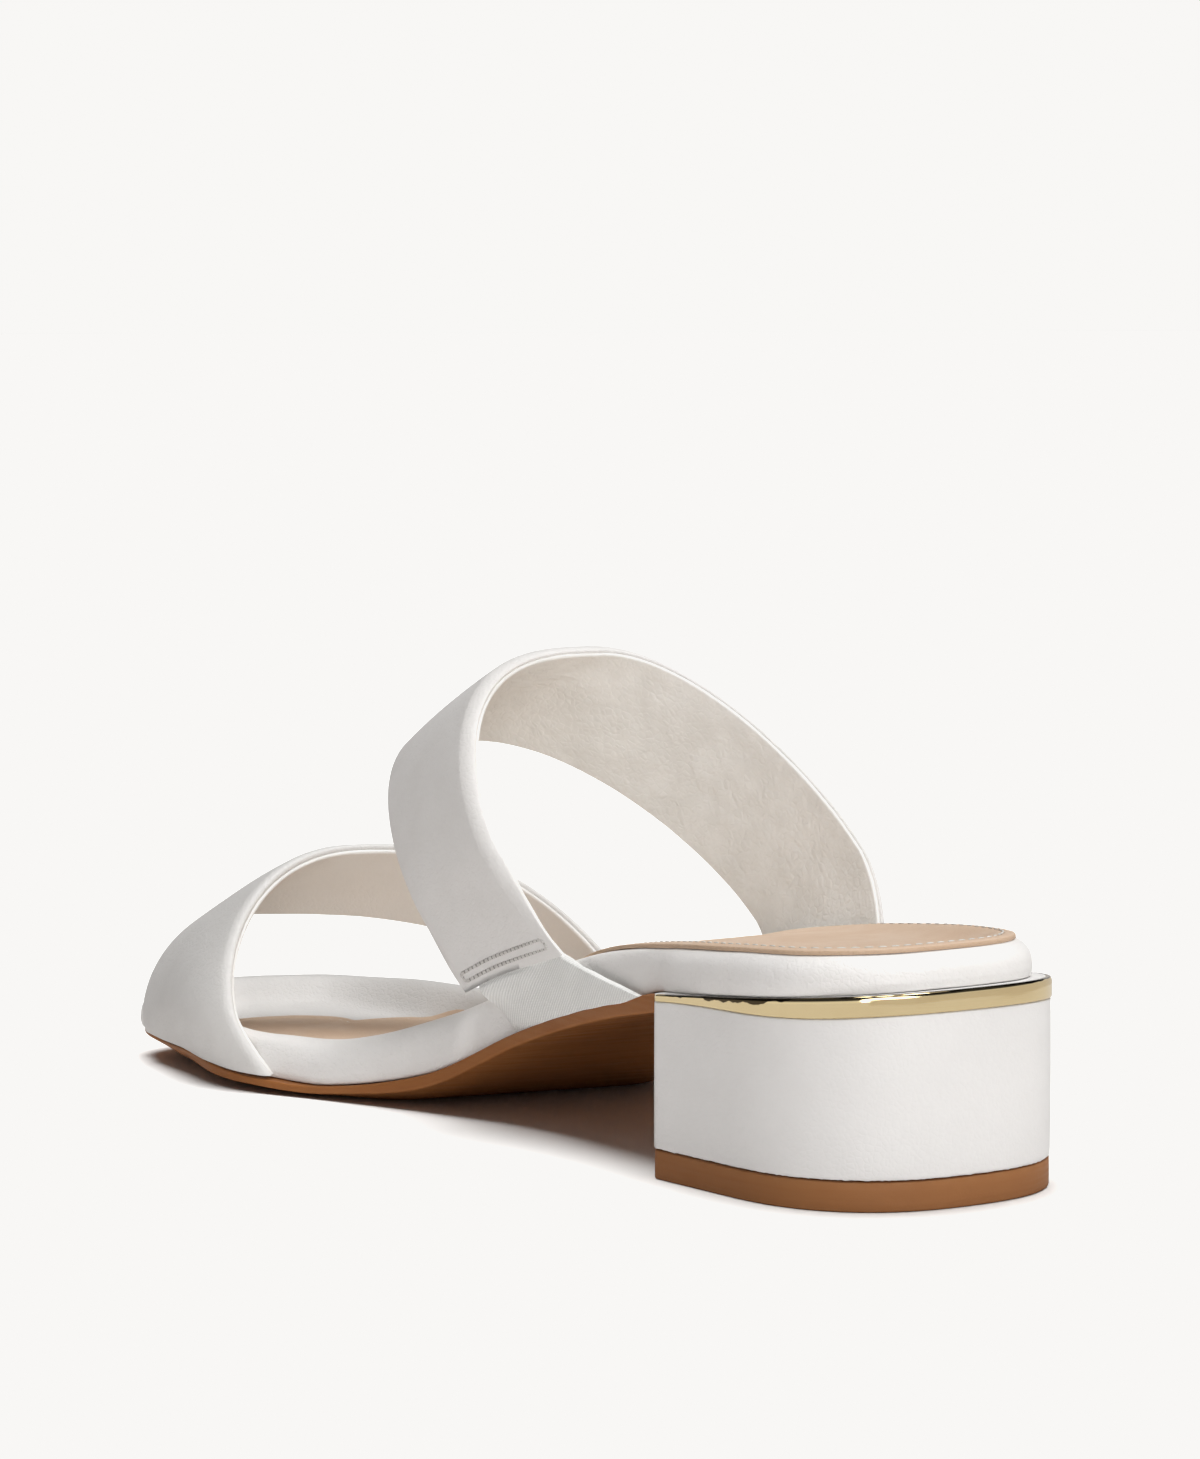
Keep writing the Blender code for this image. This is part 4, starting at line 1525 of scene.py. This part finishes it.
@dataclass
class Arch:
    """The outer face of a strap, as a surface over t (over the foot) and s (front edge to back edge).

    crown: how far its middle stands out; skive: share of its thickness pared off at the inner end.
    """

    last: Last
    front: Edge
    back: Edge
    fullness: Fullness
    crown: float = 0.8
    skive: float = 0.0
    known: dict[float, tuple[Vector, Vector]] = field(default_factory=dict, init=False, repr=False)

    def thinning(self, t: float) -> float:
        """Share of the strap's thickness left by the skiving of its inner end."""
        return 1 - self.skive * (1 - smooth(t / 0.12))

    def turn(self, edge: Edge, at: float) -> tuple[float, float]:
        """Reach and lift of the arch's unit curve."""
        angle = -edge.tuck_in + (math.pi + edge.tuck_in + edge.tuck_out) * at
        shape = self.fullness.inner if math.cos(angle) > 0 else self.fullness.outer
        return (
            math.copysign(abs(math.cos(angle)) ** (2 / shape), math.cos(angle)),
            math.copysign(abs(math.sin(angle)) ** (2 / self.fullness.height), math.sin(angle)),
        )

    def edge_point(self, edge: Edge, t: float) -> Vector:
        """A point on one edge of the strap."""
        reach, lift = self.turn(edge, t)
        inner_reach, inner_lift = self.turn(edge, 0.0)
        outer_reach, outer_lift = self.turn(edge, 1.0)
        inner = self.last.value("inner", edge.inner_foot) + self.last.welt
        outer = -self.last.value("outer", edge.outer_foot) - self.last.welt
        if reach > 0:
            across = edge.ridge + (inner - edge.ridge) * reach / inner_reach
        else:
            across = edge.ridge + (outer - edge.ridge) * reach / outer_reach
        height = edge.spring + edge.rise * lift
        for end, foot in ((0, edge.inner_foot), (1, edge.outer_foot)):
            if end or not edge.drop:
                natural = edge.spring + edge.rise * (outer_lift if end else inner_lift)
                near = max(0.0, 1 - 2 * abs(t - end))
                side = outer if end else inner
                height += (self.last.under(foot, side) + 0.2 + edge.drop * end - natural) * near * near
        chord = edge.spring + edge.rise * (inner_lift + (outer_lift - inner_lift) * t)
        share = (inner - across) / (inner - outer)
        along = edge.inner_foot + (edge.outer_foot - edge.inner_foot) * share
        along += edge.lean * (height - chord) + edge.bow * math.sin(math.pi * t) ** 2
        return Vector((along, across, height))

    def bulge(self, t: float, s: float) -> Vector:
        """How far the footbed's curved side carries the strap off the straight line between its feet."""
        side = Side.INNER if t < 0.5 else Side.OUTER
        foot = f"{side.column}_foot"
        front, back = getattr(self.front, foot), getattr(self.back, foot)
        along = front + (back - front) * s
        width, under = self.last.value, self.last.under
        across = width(side.column, along)
        edge = across * side.value
        across -= width(side.column, front) * (1 - s) + width(side.column, back) * s
        height = under(along, edge) - under(front, edge) * (1 - s) - under(back, edge) * s
        hold = 0.02 if self.front.drop else 0.1
        share = 1 - smooth((min(t, 1 - t) - hold) / 0.25)
        return Vector((0.0, across * side.value, height)) * share

    def plain(self, t: float, s: float) -> Vector:
        """The face before it is crowned."""
        rail = self.rails(t)
        return rail[0].lerp(rail[1], s) + self.bulge(t, s)

    def rails(self, t: float) -> tuple[Vector, Vector]:
        """Points on the front and on the back edge, kept for the next call."""
        if t not in self.known:
            self.known[t] = (self.edge_point(self.front, t), self.edge_point(self.back, t))
        return self.known[t]

    def facing(self, t: float, s: float) -> Vector:
        """Outward direction of the face."""
        low, high = max(t - 0.01, 0.0), min(t + 0.01, 1.0)
        fore, aft = max(s - 0.02, 0.0), min(s + 0.02, 1.0)
        rising = self.plain(high, s) - self.plain(low, s)
        return (self.plain(t, aft) - self.plain(t, fore)).cross(rising).normalized()

    def skin(self, t: float, s: float, depth: float = 0.0) -> Vector:
        """A point under the crowned face.

        Args:
            t: Share of the way over the foot, from the inner (0) to the outer end (1).
            s: Share of the way from the front edge (0) to the back edge (1).
            depth: Distance below the face.

        Returns:
            The point.
        """
        return self.plain(t, s) + self.facing(t, s) * (self.crown * 4 * s * (1 - s) - depth)

    def width(self, t: float) -> float:
        """Width of the strap."""
        front, back = self.rails(t)
        return (back - front).length


@dataclass(frozen=True)
class Layer:
    """A layer of a strap: its outer and inner depth, and how its rounded edges stand back.

    low, high: depths of its two faces; back_off: distance of its edges from the strap's edges;
    reach: width over which the outer face rolls into the edge; under: the same on the inner face;
    crest: share of the thickness at which the edges stand out furthest; slant: 1 for a round edge,
    more for one that falls away in a straighter slant.
    """

    low: float
    high: float
    back_off: float
    reach: float
    under: float
    crest: float = 0.5
    slant: float = 1.0
    faces: int = 22
    turns: int = 9

    def profile(self, width: float) -> list[tuple[float, float]]:
        """Section of the layer as (share of the width, depth), starting at the front of its outer face."""
        middle = self.low + (self.high - self.low) * self.crest
        outer = (self.back_off + self.reach) / width
        inner = (self.back_off + self.under) / width
        points = [(outer + (1 - 2 * outer) * k / self.faces, self.low) for k in range(self.faces + 1)]
        aft = []
        for k in range(1, 2 * self.turns):
            angle = -math.pi / 2 + math.pi * k / (2 * self.turns)
            out, deep = math.cos(angle), math.sin(angle)
            if angle < 0:
                edge = self.back_off + self.reach * (1 - out**self.slant)
                depth = middle - (middle - self.low) * (-deep) ** self.slant
            else:
                edge = self.back_off + self.under * (1 - out)
                depth = middle + (self.high - middle) * deep
            aft.append((1 - edge / width, depth))
        points += aft
        points += [(1 - inner - (1 - 2 * inner) * k / self.faces, self.high) for k in range(self.faces + 1)]
        points += [(1 - s, depth) for s, depth in reversed(aft)]
        return points

    def edge_numbers(self, face: int, edge: int) -> list[int]:
        """Finish numbers round the section: one for its faces and one for its rounded edges."""
        flat, turn = [face] * self.faces, [edge] * (2 * self.turns)
        return flat + turn + flat + turn


@dataclass(frozen=True)
class Fold:
    """A soft wrinkle of a lining, between two places given over the foot (t) and across the strap (s)."""

    start: tuple[float, float]
    end: tuple[float, float]
    width: float
    depth: float

    def on(self, arch: Arch, deep: float) -> Crease:
        """The wrinkle as a crease of the sandal, at a depth under the strap's face."""
        ends = [tuple(arch.skin(t, s, deep)) for t, s in (self.start, self.end)]
        return Crease(ends[0], ends[1], self.width, self.depth)


@dataclass
class Strap:
    """A leather strap: padded outer leather with rolled edges and a lining with its own turned edge.

    lining_start: share of the way over the foot where the lining begins.
    """

    name: str
    arch: Arch
    slot: str
    node: str
    folds: tuple[Fold, ...] = ()
    leather: Layer = Layer(0.0, 2.35, 0.0, 2.7, 0.6, crest=0.84, slant=1.35)
    lining: Layer = Layer(2.25, 3.10, 0.3, 0.5, 0.5)
    lining_start: float = 0.0
    steps: int = 130

    def section(self, layer: Layer, t: float) -> Loop:
        """Closed section of a layer at t."""
        thin = self.arch.thinning(t)
        return [self.arch.skin(t, s, depth * thin) for s, depth in layer.profile(self.arch.width(t))]

    def dropped(self, layer: Layer, share: float) -> Loop:
        """Section of a layer on the straight run from the outer end of the arch down to the sole."""
        front, back = self.arch.front.drop, self.arch.back.drop
        profile = layer.profile(self.arch.width(1.0))
        return [
            point - Vector((0.0, 0.0, (front + (back - front) * s) * share))
            for point, (s, _) in zip(self.section(layer, 1.0), profile)
        ]

    def layer_shell(self, layer: Layer, numbers: list[int], start: float) -> Shell:
        """A layer swept over the foot.

        Args:
            layer: The layer.
            numbers: Finish numbers round its section.
            start: Share of the way over the foot where it begins.

        Returns:
            The closed shell.
        """
        shell = Shell(self.section(layer, start))
        for step in range(1, self.steps + 1):
            shell.grow(self.section(layer, start + (1.0 - start) * step / self.steps), numbers)
        if self.arch.front.drop:
            for step in range(1, 6):
                shell.grow(self.dropped(layer, step / 5), numbers)
        return shell.close(bevel=0.12, faces=layer.faces, turns=layer.turns)

    def build(
        self, leather: bpy.types.Material, lining: bpy.types.Material, turned: bpy.types.Material
    ) -> bpy.types.Object:
        """Makes the strap.

        Args:
            leather: Finish of the outer leather.
            lining: Finish of the lining's face.
            turned: Finish of the lining's edge.

        Returns:
            The lining.
        """
        outer = self.layer_shell(self.leather, self.leather.edge_numbers(0, 0), 0.0)
        piece = outer.press((), ripple=0.12, wave=17.0).piece(self.name, (leather,))
        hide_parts(self.node)
        inner = self.layer_shell(self.lining, self.lining.edge_numbers(0, 1), self.lining_start)
        creases = [fold.on(self.arch, self.lining.high) for fold in self.folds]
        piece = inner.press(creases, ripple=0.08, wave=7.0).piece(f"{self.name}_lining", (lining, turned))
        return piece


@dataclass
class BoxStitch:
    """The double row of stitching, closed at both ends, that holds the gore to the strap's inner end."""

    arch: Arch
    rows: tuple[float, float] = (0.0225, 0.0115)
    span: tuple[float, float] = (0.07, 0.94)
    stitches: Stitches = field(default_factory=lambda: Stitches(1.5, 1.15, 0.80, 0.56))
    # Dark marks of painted shade in the needle holes.
    holes: Stitches = field(default_factory=lambda: Stitches(1.5, 0.42, 0.75, 0.30))

    def build(self, thread: bpy.types.Material, hole: bpy.types.Material) -> None:
        """Makes the stitching, and dark marks of painted shade for the needle holes that it pulls open.

        Args:
            thread: Finish of the stitches.
            hole: Finish of the holes, a painted shade.
        """
        mesh, holes = bmesh.new(), bmesh.new()
        low, high = self.span
        corners = [(self.rows[0], low), (self.rows[0], high), (self.rows[1], high), (self.rows[1], low)]
        for (t0, s0), (t1, s1) in zip(corners, corners[1:] + corners[:1]):
            spots = [(t0 + (t1 - t0) * k / 24, s0 + (s1 - s0) * k / 24) for k in range(25)]
            path = [self.arch.skin(t, s, 0.0) for t, s in spots]
            facing = [self.arch.facing(*spot) for spot in spots]
            self.stitches.row(mesh, path, lambda k, facing=facing: facing[k])
            self.holes.row(holes, path, lambda k, facing=facing: facing[k], between=True)
        for piece in (piece_of(mesh, "box_stitching", (thread,)), piece_of(holes, "needle_holes", (hole,))):
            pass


@dataclass
class Gore:
    """Woven elastic from behind the instep strap's inner end down to the sole.

    behind: depth of its face under the strap's; front_foot, back_foot: where its edges meet the sole;
    lap: how far it runs up behind the strap; span: its width there, as shares of the strap's; scoop: how
    far its back edge curves forward; sunk: how far its front edge turns in; swell: how far its front half
    stands out just below the strap.
    """

    arch: Arch
    layer: Layer = Layer(0.0, 1.25, 0.0, 0.7, 0.5)
    behind: float = 2.0
    front_foot: float = 110.5
    back_foot: float = 59.3
    lap: float = 0.10
    span: tuple[float, float] = (0.12, 0.97)
    scoop: float = 1.7
    sunk: float = 2.0
    swell: float = 0.55

    def on_strap(self, t: float) -> Loop:
        """Section of the elastic behind the strap."""
        width = self.arch.width(t) * (self.span[1] - self.span[0])
        out = []
        for share, depth in self.layer.profile(width):
            s = self.span[0] + (self.span[1] - self.span[0]) * share
            out.append(self.arch.skin(t, s, self.behind * self.arch.thinning(t) + depth))
        return out

    def at_sole(self) -> Loop:
        """Section of the elastic where it goes in under the footbed."""
        last, out = self.arch.last, []
        for share, depth in self.layer.profile(self.front_foot - self.back_foot):
            along = self.front_foot + (self.back_foot - self.front_foot) * share
            across = last.value("inner", along) + last.welt - depth
            out.append(Vector((along, across, last.under(along, across) - 0.55)))
        return out

    def build(self, finishes: Finishes) -> None:
        """Makes the gore."""
        lap = [self.on_strap(self.lap * (1 - k / 6)) for k in range(7)]
        shell = Shell(lap[0])
        for loop in lap[1:]:
            shell.grow(loop)
        top, foot = lap[-1], self.at_sole()
        shares = [share for share, _ in self.layer.profile(40.0)]
        for step in range(1, 37):
            k = step / 36
            loop = []
            for a, b, share in zip(top, foot, shares):
                spot = a.lerp(b, k)
                spot.x += self.scoop * 4 * k * (1 - k) * smooth((share - 0.5) * 2)
                spot.y -= self.sunk * smooth(k * 2.2 - 0.3) * max(0.0, 1 - share / 0.28) ** 2
                spot.y += self.swell * smooth(k * 14) * (1 - smooth(k * 2)) * (1 - smooth((share - 0.4) * 4))
                loop.append(spot)
            shell.grow(loop)
        creases = (
            Crease((84.0, 25.5, 40.0), (82.0, 24.0, 30.0), 3.2, 0.35),
            Crease((98.0, 24.0, 33.0), (101.0, 22.0, 25.0), 3.0, 0.25),
        )
        shell.close(bevel=0.1, faces=self.layer.faces, turns=self.layer.turns)
        piece = shell.press(creases, ripple=0.18, wave=7.0).piece("gore", (finishes.elastic,))
        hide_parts("elastic_gore")


@dataclass(frozen=True)
class Lamp:
    """A distant soft light: strength, where it comes from and how wide it looks in degrees."""

    name: str
    energy: float
    source: tuple[float, float, float]
    spread: float

    def build(self) -> bpy.types.Object:
        """Makes the light."""
        data = bpy.data.lights.new(self.name, "SUN")
        data.energy = self.energy
        data.angle = math.radians(self.spread)
        light = bpy.data.objects.new(self.name, data)
        light.rotation_euler = Vector(self.source).to_track_quat("Z", "Y").to_euler()
        bpy.context.scene.collection.objects.link(light)
        return light


@dataclass
class Studio:
    """Plain pale floor, soft daylight studio and the camera.

    heading, pitch: degrees that the camera turns from -Y towards -X, and looks down; bounce, mirrored:
    the floor's colour as it lights the sandal and as it is mirrored; card_radius, card_height,
    card_glow: size and colour of the card that the metal mirrors, round card_middle.
    """

    eye: tuple[float, float, float] = (0.53853, 0.76838, 0.15489)
    heading: float = 35.3471
    pitch: float = 4.8746
    lens: float = 120.236
    backdrop: Colour = (0.939, 0.930, 0.913)
    floor: Colour = (0.93, 0.921, 0.904)
    bounce: Colour = (0.58, 0.56, 0.548)
    mirrored: Colour = (0.46, 0.45, 0.44)
    ambient: float = 0.11
    lamps: tuple[Lamp, ...] = (
        Lamp("key", 2.60, (-0.18, 0.14, 0.97), 45.0),
        Lamp("back_fill", 1.68, (0.30, 0.93, 0.20), 50.0),
    )
    floor_lamp: Lamp = Lamp("floor_wash", 4.6, (-0.09, -0.13, 0.985), 52.0)
    lining_lamp: Lamp = Lamp("lining_fill", 0.74, (0.88, 0.30, 0.13), 60.0)
    card_middle: tuple[float, float, float] = (27.0, -3.5, 0.0)
    card_radius: float = 0.30
    card_height: float = 0.09
    card_glow: Colour = (0.60, 0.57, 0.54)

    def build_camera(self) -> None:
        """Makes the camera."""
        data = bpy.data.cameras.new("camera")
        data.lens = self.lens
        data.sensor_width = 36.0
        data.clip_start, data.clip_end = 0.05, 100.0
        camera = bpy.data.objects.new("camera", data)
        bpy.context.scene.collection.objects.link(camera)
        turn, down = math.radians(self.heading), math.radians(self.pitch)
        ahead = Vector((-math.sin(turn) * math.cos(down), -math.cos(turn) * math.cos(down), -math.sin(down)))
        camera.location = self.eye
        camera.rotation_euler = ahead.to_track_quat("-Z", "Y").to_euler()
        bpy.context.scene.camera = camera

    def build_lights(self, floor: bpy.types.Object) -> None:
        """Makes the lights: soft ones for the sandal, and one that washes only the floor.

        Args:
            floor: The floor.
        """
        spared = bpy.data.collections.new("spared")
        spared.objects.link(floor)
        spared.collection_objects[0].light_linking.link_state = "EXCLUDE"
        for lamp in self.lamps:
            lamp.build().light_linking.receiver_collection = spared
        washed = bpy.data.collections.new("washed")
        washed.objects.link(floor)
        self.floor_lamp.build().light_linking.receiver_collection = washed

    def brighten(self, linings: Sequence[bpy.types.Object]) -> None:
        """Adds the soft light that reaches in under the straps.

        Args:
            linings: The linings that it falls on.
        """
        lit = bpy.data.collections.new("linings")
        for lining in linings:
            lit.objects.link(lining)
        self.lining_lamp.build().light_linking.receiver_collection = lit

    def build_card(self) -> None:
        """Makes the curved card, round the back of the heel, that only the metal mirrors."""
        mesh = bmesh.new()
        bmesh.ops.create_circle(mesh, segments=96, radius=self.card_radius)
        middle = in_world(Vector(self.card_middle))
        bmesh.ops.translate(mesh, verts=mesh.verts, vec=middle)
        turn = math.radians(self.heading)
        right = Vector((-math.cos(turn), math.sin(turn), 0.0))
        spare = [vert for vert in mesh.verts if (vert.co - middle).dot(right) < 0.0]
        bmesh.ops.delete(mesh, geom=spare, context="VERTS")
        risen = bmesh.ops.extrude_edge_only(mesh, edges=mesh.edges)["geom"]
        for vert in (g for g in risen if isinstance(g, bmesh.types.BMVert)):
            vert.co.z += self.card_height
        made = bpy.data.materials.new("card_paper")
        made.use_nodes = True
        board = Board(made.node_tree)
        board.tree.nodes.clear()
        glow = board.add("ShaderNodeEmission", {"Color": rgba(self.card_glow), "Strength": 1.0})
        board.add("ShaderNodeOutputMaterial", {"Surface": glow.outputs[0]})
        card = object_of(mesh, "card", (made,))
        card.visible_camera = card.visible_diffuse = card.visible_shadow = False
        card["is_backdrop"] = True

    def build_world(self) -> None:
        """Makes the even surroundings, with a dimmer zone above the horizon for the metal to mirror."""
        world = bpy.data.worlds.new("studio")
        world.use_nodes = True
        bpy.context.scene.world = world
        world.node_tree.nodes.clear()
        board = Board(world.node_tree)
        path = board.add("ShaderNodeLightPath").outputs
        way = board.add("ShaderNodeTexCoord").outputs["Generated"]
        risen = board.add("ShaderNodeSeparateXYZ", {0: way}).outputs[2]
        dim = board.spread(risen, 0.16, 0.36, 0.80, 0.03)
        mirror, even, seen = (
            board.add("ShaderNodeBackground", {"Color": rgba(colour), "Strength": strength}).outputs[0]
            for colour, strength in (
                ((0.97, 0.96, 0.95), dim), ((1.0, 0.955, 0.95), self.ambient), (self.backdrop, 1.0)
            )
        )
        lit = board.add("ShaderNodeMixShader", {0: path["Is Glossy Ray"], 1: even, 2: mirror}).outputs[0]
        shown = board.add("ShaderNodeMixShader", {0: path["Is Camera Ray"], 1: lit, 2: seen}).outputs[0]
        board.add("ShaderNodeOutputWorld", {"Surface": shown})

    def build_floor(self) -> bpy.types.Object:
        """Makes the floor."""
        mesh = bmesh.new()
        bmesh.ops.create_grid(mesh, x_segments=8, y_segments=8, size=30.0)
        bmesh.ops.translate(mesh, verts=mesh.verts, vec=(0.0, 0.0, -0.00004))
        made, board, shader, where = start_finish("floor_paint")
        rough = board.spread(board.speckle(where, 900.0, 2.0), 0.3, 0.7, 0.9, 0.98)
        path = board.add("ShaderNodeLightPath").outputs
        paint = board.blend(path["Is Diffuse Ray"], rgba(self.floor), rgba(self.bounce))
        paint = board.blend(path["Is Glossy Ray"], paint, rgba(self.mirrored))
        board.fill(shader, {"Base Color": paint, "Roughness": rough, "Specular IOR Level": 0.0})
        floor = object_of(mesh, "floor", (made,))
        floor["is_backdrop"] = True
        return floor

    def build_paper_white(self) -> None:
        """Holds every highlight at the backdrop's own white, so that the lit floor runs into it."""
        view = bpy.context.scene.view_settings
        view.view_transform = "Standard"
        view.look = "None"
        view.use_curve_mapping = True
        for curve, white in zip(view.curve_mapping.curves, self.backdrop):
            curve.points[1].location = (white, white)
            curve.points.new(1.0, white)
            for point in curve.points:
                point.handle_type = "VECTOR"
        view.curve_mapping.update()

    def build(self) -> None:
        """Makes the studio."""
        self.build_paper_white()
        self.build_camera()
        self.build_world()
        self.build_lights(self.build_floor())
        self.build_card()


INSTEP_FOLDS = (
    Fold((0.40, 0.30), (0.46, 0.75), 1.1, -0.16),
    Fold((0.43, 0.20), (0.52, 0.55), 0.9, 0.14),
    Fold((0.47, 0.45), (0.50, 0.85), 1.2, -0.14),
    Fold((0.50, 0.15), (0.60, 0.35), 1.0, 0.15),
    Fold((0.53, 0.50), (0.62, 0.80), 1.3, -0.15),
    Fold((0.57, 0.25), (0.64, 0.62), 1.0, 0.14),
    Fold((0.60, 0.70), (0.70, 0.88), 0.9, -0.12),
    Fold((0.63, 0.12), (0.72, 0.40), 1.2, -0.15),
    Fold((0.67, 0.45), (0.74, 0.82), 1.0, 0.15),
    Fold((0.71, 0.18), (0.80, 0.50), 1.1, 0.14),
    Fold((0.74, 0.60), (0.84, 0.75), 0.9, -0.14),
    Fold((0.79, 0.25), (0.86, 0.66), 1.2, -0.17),
    Fold((0.83, 0.48), (0.91, 0.86), 1.0, 0.17),
    Fold((0.86, 0.14), (0.94, 0.52), 0.9, 0.15),
    Fold((0.89, 0.55), (0.97, 0.72), 1.1, -0.17),
    Fold((0.36, 0.55), (0.42, 0.90), 0.9, 0.12),
)


def corners(box: tuple[Vector, Vector]) -> list[list[float]]:
    """A box's two corners as plain numbers."""
    return [[round(value, 6) for value in corner] for corner in box]


def main() -> None:
    """Builds the sandal and its studio."""
    logging.basicConfig(level=logging.INFO, format="%(message)s")
    packed = corners(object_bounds())
    studio = Studio()
    studio.build()
    finishes = Finishes()
    last = Last()
    toe = Arch(
        last,
        Edge(225.6, 169.5, 0.3, 2.3, 9.8, 7.5, 24.2, 0.10, 0.20, 0.0),
        Edge(172.8, 146.4, 0.7, 1.1, 2.4, 14.3, 32.6, 0.40, 0.30, 0.0),
        Fullness(1.95, 1.7, 2.63),
    )
    instep = Arch(
        last,
        Edge(124.0, 90.4, 0.9, 8.5, -1.8, 38.5, 33.8, 0.50, 0.20, 9.2),
        Edge(90.0, 55.8, 0.68, 12.1, -7.9, 54.3, 37.3, 0.60, 0.50, 6.0),
        Fullness(2.6, 1.64, 1.98),
        skive=0.88,
    )
    gore = Gore(instep)
    Sole(last).build(finishes)
    Heel(last).build(finishes)
    Footbed(
        last,
        (
            (Side.INNER, toe.back.inner_foot, toe.front.inner_foot),
            (Side.INNER, gore.back_foot, gore.front_foot + 12),
            (Side.OUTER, toe.back.outer_foot, toe.front.outer_foot),
            (Side.OUTER, instep.back.outer_foot, instep.front.outer_foot),
        ),
    ).build(finishes)
    Sock(last).build(finishes)
    linings = [
        Strap(
            "toe_strap_leather", toe, "white_leather", "toe_strap",
            leather=Layer(0.0, 1.9, 0.0, 2.2, 0.7, crest=0.6), lining=Layer(1.8, 2.7, 0.3, 0.5, 0.5),
        ).build(finishes.upper, finishes.toe_lining, finishes.turned),
        Strap(
            "instep_strap_leather", instep, "instep_leather", "instep_strap",
            folds=INSTEP_FOLDS, lining_start=0.03,
        ).build(finishes.instep, finishes.lining, finishes.turned),
    ]
    studio.brighten(linings)
    BoxStitch(instep).build(finishes.grey_thread, finishes.needle_hole_shade)
    gore.build(finishes)
    {"packed": packed, "shown": corners(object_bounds())}


if __name__ == "__main__":
    main()
